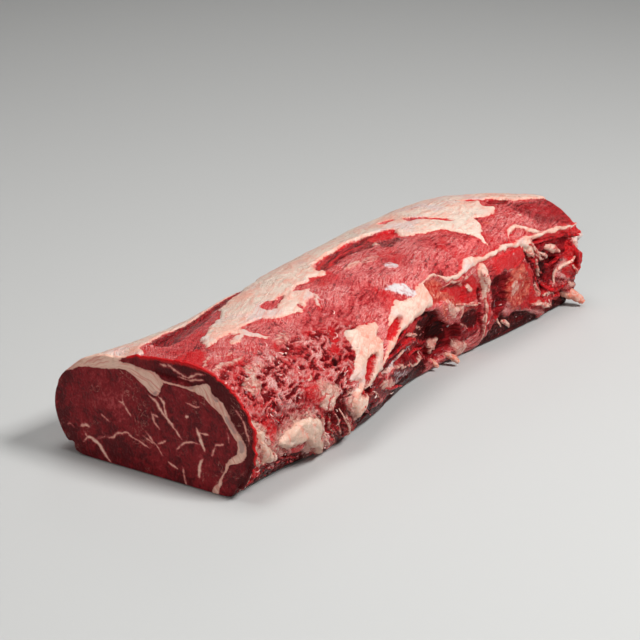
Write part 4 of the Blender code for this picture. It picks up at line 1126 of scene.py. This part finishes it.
FLESH_STRANDS = (
    ((124, -52, 0.5, 0.7), (138, -54, 1.4, 1.3), (156, -55, 1.5, 1.4), (176, -56, 1.4, 1.3), (193, -58, 0.4, 0.7)),
    ((126, -66, 0.5, 0.7), (136, -74, 1.2, 1.2), (143, -84, 1.2, 1.1), (150, -96, 0.4, 0.6)),
    ((156, -74, 0.5, 0.7), (164, -76, 1.4, 1.3), (174, -73, 1.4, 1.2), (182, -68, 0.4, 0.6)),
    ((152, -88, 0.5, 0.7), (160, -93, 1.4, 1.4), (170, -95, 1.4, 1.3), (182, -92, 0.5, 0.7)),
    ((184, -62, 0.5, 0.9), (189, -70, 1.4, 1.8), (193, -80, 1.4, 1.6), (190, -90, 0.5, 0.9)),
    ((168, -99, 0.5, 1.0), (176, -101, 1.6, 2.2), (183, -104, 0.8, 1.0)),
    ((-66, -74, 0.3, 0.5), (-52, -73, 1.0, 0.9), (-36, -71, 1.2, 1.1), (-20, -73, 0.9, 0.8), (-10, -77, 0.3, 0.4)),
    ((-58, -68, 0.3, 0.5), (-44, -66, 1.0, 0.9), (-30, -63, 0.9, 0.8), (-20, -61, 0.3, 0.4)),
    ((-30, -84, 0.3, 0.5), (-14, -88, 1.2, 1.1), (4, -91, 1.2, 1.1), (18, -96, 0.4, 0.5)),
    ((-62, -88, 0.3, 0.5), (-46, -96, 1.0, 1.0), (-28, -104, 0.9, 0.9), (-14, -110, 0.3, 0.5)),
    ((-100, -84, 0.3, 0.5), (-90, -92, 1.0, 1.0), (-78, -100, 1.0, 0.9), (-66, -108, 0.3, 0.5)),
    ((-176, -92, 0.3, 0.4), (-164, -96, 1.0, 0.8), (-152, -102, 1.0, 0.8), (-142, -110, 0.3, 0.4)),
    ((-199, -91, 0.4, 0.7), (-195, -96, 1.2, 1.4), (-197, -103, 0.4, 0.8)),
)
FOOT_TAGS = (
    # points: place, radius
    ((184, -50, 16, 2.0), (188, -54, 12.5, 3.6), (192.5, -59, 9, 3.8), (196, -64, 5.5, 3.0), (197, -67, 3.2, 1.5)),
    ((44, -45, 9, 1.2), (46, -49, 6.5, 2.0), (47.5, -52, 4.2, 2.0), (48, -54, 2.6, 1.1)),
    ((30, -42, 8, 1.0), (31.5, -45, 5.5, 1.8), (33, -47, 3.2, 1.2)),
    ((-91, -49, 6, 0.8), (-93, -52, 4.2, 1.4), (-95, -54, 2.4, 0.9)),
)


def new_tree(name, inputs):
    """A Geometry Nodes tree with named inputs, and its input and output nodes."""
    tree = bpy.data.node_groups.new(name, "GeometryNodeTree")
    tree.interface.new_socket("Geometry", in_out="INPUT", socket_type="NodeSocketGeometry")
    for title, kind in inputs:
        tree.interface.new_socket(title, in_out="INPUT", socket_type=kind)
    tree.interface.new_socket("Geometry", in_out="OUTPUT", socket_type="NodeSocketGeometry")
    return tree, tree.nodes.new("NodeGroupInput").outputs, tree.nodes.new("NodeGroupOutput").inputs


def add_node(tree, kind, settings, inputs):
    """A node with its settings, and with its inputs set, or joined to other nodes."""
    made = tree.nodes.new(kind)
    for key, value in settings.items():
        setattr(made, key, value)
    for key, value in inputs.items():
        if isinstance(value, bpy.types.NodeSocket):
            tree.links.new(value, made.inputs[key])
        else:
            made.inputs[key].default_value = value
    return made.outputs


def grown(source, tree, values):
    """The plain mesh that a tree makes from a mesh, kept off the floor."""
    carrier = bpy.data.objects.new("carrier", source)
    scene.collection.objects.link(carrier)
    modifier = carrier.modifiers.new("grow", "NODES")
    modifier.node_group = tree
    for item in tree.interface.items_tree:
        if item.in_out == "INPUT" and item.name in values:
            modifier[item.identifier] = values[item.name]
    evaluated = carrier.evaluated_get(bpy.context.evaluated_depsgraph_get())
    mesh = bpy.data.meshes.new_from_object(evaluated)
    bpy.data.objects.remove(carrier)
    for vertex in mesh.vertices:
        vertex.co.z = max(vertex.co.z, FLOOR_GAP)
    return mesh


def strand_tree():
    inputs = (("Step", "NodeSocketFloat"), ("Sides", "NodeSocketInt"), ("Lumps", "NodeSocketFloat"),
              ("Wander", "NodeSocketFloat"), ("Material", "NodeSocketMaterial"))
    tree, given, result = new_tree("strand", inputs)
    line = add_node(tree, "GeometryNodeMeshToCurve", {}, {"Mesh": given["Geometry"]})
    even = add_node(tree, "GeometryNodeResampleCurve", {"mode": "LENGTH"},
                    {"Curve": line["Curve"], "Length": given["Step"]})
    bends = add_node(tree, "ShaderNodeTexNoise", {}, {"Scale": 160.0, "Detail": 2.0})
    centred = add_node(tree, "ShaderNodeVectorMath", {"operation": "SUBTRACT"},
                       {0: bends["Color"], 1: (0.5, 0.5, 0.5)})
    stray = add_node(tree, "ShaderNodeVectorMath", {"operation": "SCALE"},
                     {"Vector": centred["Vector"], "Scale": given["Wander"]})
    bent = add_node(tree, "GeometryNodeSetPosition", {}, {"Geometry": even["Curve"], "Offset": stray["Vector"]})
    ring = add_node(tree, "GeometryNodeCurvePrimitiveCircle", {}, {"Resolution": given["Sides"], "Radius": 1.0})
    thickness = add_node(tree, "GeometryNodeInputNamedAttribute", {"data_type": "FLOAT"}, {"Name": "thickness"})
    body = add_node(tree, "GeometryNodeCurveToMesh", {}, {
        "Curve": bent["Geometry"], "Profile Curve": ring["Curve"], "Scale": thickness["Attribute"],
        "Fill Caps": True})
    lumpy = add_node(tree, "ShaderNodeTexNoise", {}, {"Scale": 300.0, "Detail": 4.0, "Roughness": 0.7})
    push = add_node(tree, "ShaderNodeMath", {"operation": "SUBTRACT"}, {0: lumpy["Fac"], 1: 0.5})
    push = add_node(tree, "ShaderNodeMath", {"operation": "MULTIPLY"}, {0: push["Value"], 1: given["Lumps"]})
    push = add_node(tree, "ShaderNodeMath", {"operation": "MULTIPLY"}, {0: push["Value"], 1: thickness["Attribute"]})
    facing = add_node(tree, "GeometryNodeInputNormal", {}, {})
    offset = add_node(tree, "ShaderNodeVectorMath", {"operation": "SCALE"},
                      {"Vector": facing["Normal"], "Scale": push["Value"]})
    moved = add_node(tree, "GeometryNodeSetPosition", {}, {"Geometry": body["Mesh"], "Offset": offset["Vector"]})
    real = add_node(tree, "GeometryNodeRealizeInstances", {}, {"Geometry": moved["Geometry"]})
    dressed = add_node(tree, "GeometryNodeSetMaterial", {},
                       {"Geometry": real["Geometry"], "Material": given["Material"]})
    tree.links.new(dressed["Geometry"], result["Geometry"])
    return tree


def on_skin(point):
    """A strand's point, given on the skin, as a place and a radius."""
    along_it, round_at, lift, radius = point
    nearest = np.abs(skin[..., 0] - along_it) + np.abs(tape - round_at)
    at = np.unravel_index(np.argmin(nearest), nearest.shape)
    return (*(skin_out[at] + normals[at] * (lift - STRAND_SINK * radius)), radius)


def strand_lines(lines):
    """A mesh of bare edges along smoothed lines of places, with the strands' thickness on it."""
    points = [curved(line, False) for line in lines]
    edges, first = [], 0
    for line in points:
        edges += [(first + k, first + k + 1) for k in range(len(line) - 1)]
        first += len(line)
    points = np.vstack(points) * MM
    mesh = bpy.data.meshes.new("lines")
    mesh.from_pydata(points[:, :3].tolist(), edges, [])
    mesh.attributes.new("thickness", "FLOAT", "POINT").data.foreach_set("value", points[:, 3].astype(np.float32))
    return mesh


def strand_recipe(name, flesh, pink, stain):
    r = Recipe(name)
    blots = r.mottle(150.0, 4.0, 0.65, twist=0.8)
    fine = r.mottle(480.0, 4.0, 0.65, twist=0.8)
    colour = r.mix(r.between(fine, 0.42, 0.60), flesh, pink)
    stained = r.sum("MULTIPLY_ADD", r.sum("SUBTRACT", fine, 0.5), 0.9, blots)
    colour = r.mix(r.between(stained, 0.48, 0.62, 0.0, 0.85), colour, stain)
    r.put(r.shader.inputs["Base Color"], colour)
    r.put(r.shader.inputs["Roughness"], r.between(blots, 0.3, 0.7, 0.25, 0.40))
    r.put(r.shader.inputs["Normal"], r.bump(r.sum("MULTIPLY_ADD", fine, 0.8, blots), 0.0016, 1.0))
    return r.wet(0.2)


strands = strand_tree()
fat_strand_meat = strand_recipe("loose_fat", SHEATH_CREAM, FAT_PINK, STRAND_STAIN)
flesh_strand_meat = strand_recipe("loose_flesh", LEAN_BRIGHT, LEAN_RED, LEAN_DEEP)
tag_meat = strand_recipe("foot_tag", FAT_PINK, FILM_ORANGE, FAT_STAIN)
fat_lines = [[on_skin(point) for point in line] for line in FAT_STRANDS]
flesh_lines = [[on_skin(point) for point in line] for line in FLESH_STRANDS]
STRAND_KINDS = (
    ("strands_of_fat", fat_lines, fat_strand_meat, "fat"),
    ("strands_of_flesh", flesh_lines, flesh_strand_meat, "lean"),
    ("foot_tags", FOOT_TAGS, tag_meat, "fat"),
)
for name, lines, meat, slot in STRAND_KINDS:
    values = {"Step": STRAND_STEP, "Sides": STRAND_SIDES, "Lumps": STRAND_LUMPS, "Wander": STRAND_WANDER,
              "Material": meat}
    finished(name, grown(strand_lines(lines), strands, values), None)

# ---------------------------------------------------------------------------------------------------------
# Torn fibres: short curled ends of muscle and web that stand on the coarse lean, where a flap or a bone was
# pulled away. They are strewn over the skin, thickest where it is most torn.
# ---------------------------------------------------------------------------------------------------------
FIBRE_RADIUS = 0.0003
FIBRE_BEND = 0.0013
FIBRE_SWEEP = math.radians(110)
FIBRE_WRIGGLE = 0.0012
FIBRES_TO_A_SQUARE_METRE = 90000.0


def fibre_tree():
    inputs = (("Density", "NodeSocketFloat"), ("Radius", "NodeSocketFloat"), ("Bend", "NodeSocketFloat"),
              ("Sweep", "NodeSocketFloat"), ("Wriggle", "NodeSocketFloat"), ("Seed", "NodeSocketInt"),
              ("Material", "NodeSocketMaterial"))
    tree, given, result = new_tree("torn_fibres", inputs)
    shed = add_node(tree, "GeometryNodeInputNamedAttribute", {"data_type": "FLOAT"}, {"Name": "shed"})
    density = add_node(tree, "ShaderNodeMath", {"operation": "MULTIPLY"},
                       {0: shed["Attribute"], 1: given["Density"]})
    spread = add_node(tree, "GeometryNodeDistributePointsOnFaces", {},
                      {"Mesh": given["Geometry"], "Density": density["Value"], "Seed": given["Seed"]})
    arc = add_node(tree, "GeometryNodeCurveArc", {},
                   {"Resolution": 7, "Radius": given["Bend"], "Sweep Angle": given["Sweep"]})
    ring = add_node(tree, "GeometryNodeCurvePrimitiveCircle", {}, {"Resolution": 5, "Radius": given["Radius"]})
    share = add_node(tree, "GeometryNodeSplineParameter", {}, {})
    taper = add_node(tree, "ShaderNodeMapRange", {"interpolation_type": "SMOOTHSTEP"},
                     {"Value": share["Factor"], "From Min": 0.0, "From Max": 1.0, "To Min": 1.2, "To Max": 0.3})
    fibre = add_node(tree, "GeometryNodeCurveToMesh", {}, {
        "Curve": arc["Curve"], "Profile Curve": ring["Curve"], "Scale": taper["Result"], "Fill Caps": True})
    turn = add_node(tree, "FunctionNodeRandomValue", {"data_type": "FLOAT_VECTOR"},
                    {0: (-0.9, -0.5, 0.0), 1: (0.9, 0.5, 2 * math.pi), "Seed": given["Seed"]})
    turned = add_node(tree, "FunctionNodeRotateRotation", {"rotation_space": "LOCAL"},
                      {"Rotation": spread["Rotation"], "Rotate By": turn["Value"]})
    size = add_node(tree, "FunctionNodeRandomValue", {"data_type": "FLOAT"},
                    {2: 0.5, 3: 1.5, "Seed": given["Seed"]})
    strewn = add_node(tree, "GeometryNodeInstanceOnPoints", {}, {
        "Points": spread["Points"], "Instance": fibre["Mesh"], "Rotation": turned["Rotation"],
        "Scale": size[1]})
    shade = add_node(tree, "FunctionNodeRandomValue", {"data_type": "FLOAT"}, {2: 0.0, 3: 1.0, "Seed": 3})
    tinted = add_node(tree, "GeometryNodeStoreNamedAttribute", {"data_type": "FLOAT", "domain": "INSTANCE"},
                      {"Geometry": strewn["Instances"], "Name": "shade", "Value": shade[1]})
    real = add_node(tree, "GeometryNodeRealizeInstances", {}, {"Geometry": tinted["Geometry"]})
    bends = add_node(tree, "ShaderNodeTexNoise", {}, {"Scale": 330.0, "Detail": 1.0})
    centred = add_node(tree, "ShaderNodeVectorMath", {"operation": "SUBTRACT"},
                       {0: bends["Color"], 1: (0.5, 0.5, 0.5)})
    wriggle = add_node(tree, "ShaderNodeVectorMath", {"operation": "SCALE"},
                       {"Vector": centred["Vector"], "Scale": given["Wriggle"]})
    moved = add_node(tree, "GeometryNodeSetPosition", {},
                     {"Geometry": real["Geometry"], "Offset": wriggle["Vector"]})
    dressed = add_node(tree, "GeometryNodeSetMaterial", {},
                       {"Geometry": moved["Geometry"], "Material": given["Material"]})
    tree.links.new(dressed["Geometry"], result["Geometry"])
    return tree


def fibre_recipe(name):
    r = Recipe(name)
    shade = r.painted("shade")
    colour = r.mix(r.between(shade, 0.15, 0.5), LEAN_BRIGHT, LEAN_PINK)
    colour = r.mix(r.between(shade, 0.5, 0.9), colour, WEB_AND_SHEEN)
    r.put(r.shader.inputs["Base Color"], colour)
    r.put(r.shader.inputs["Roughness"], 0.3)
    return r.wet(0.2)


fibre_meat = fibre_recipe("torn_fibre")
fibres = fibre_tree()
fibre_values = {"Density": FIBRES_TO_A_SQUARE_METRE, "Radius": FIBRE_RADIUS, "Bend": FIBRE_BEND,
                "Sweep": FIBRE_SWEEP, "Wriggle": FIBRE_WRIGGLE, "Material": fibre_meat}
for name, piece, seed in (("chine_side_fibres", chine_skin, 5), ("top_fibres", top_skin, 6)):
    mesh = grown(piece.data.copy(), fibres, {**fibre_values, "Seed": seed})
    finished(name, mesh, None)
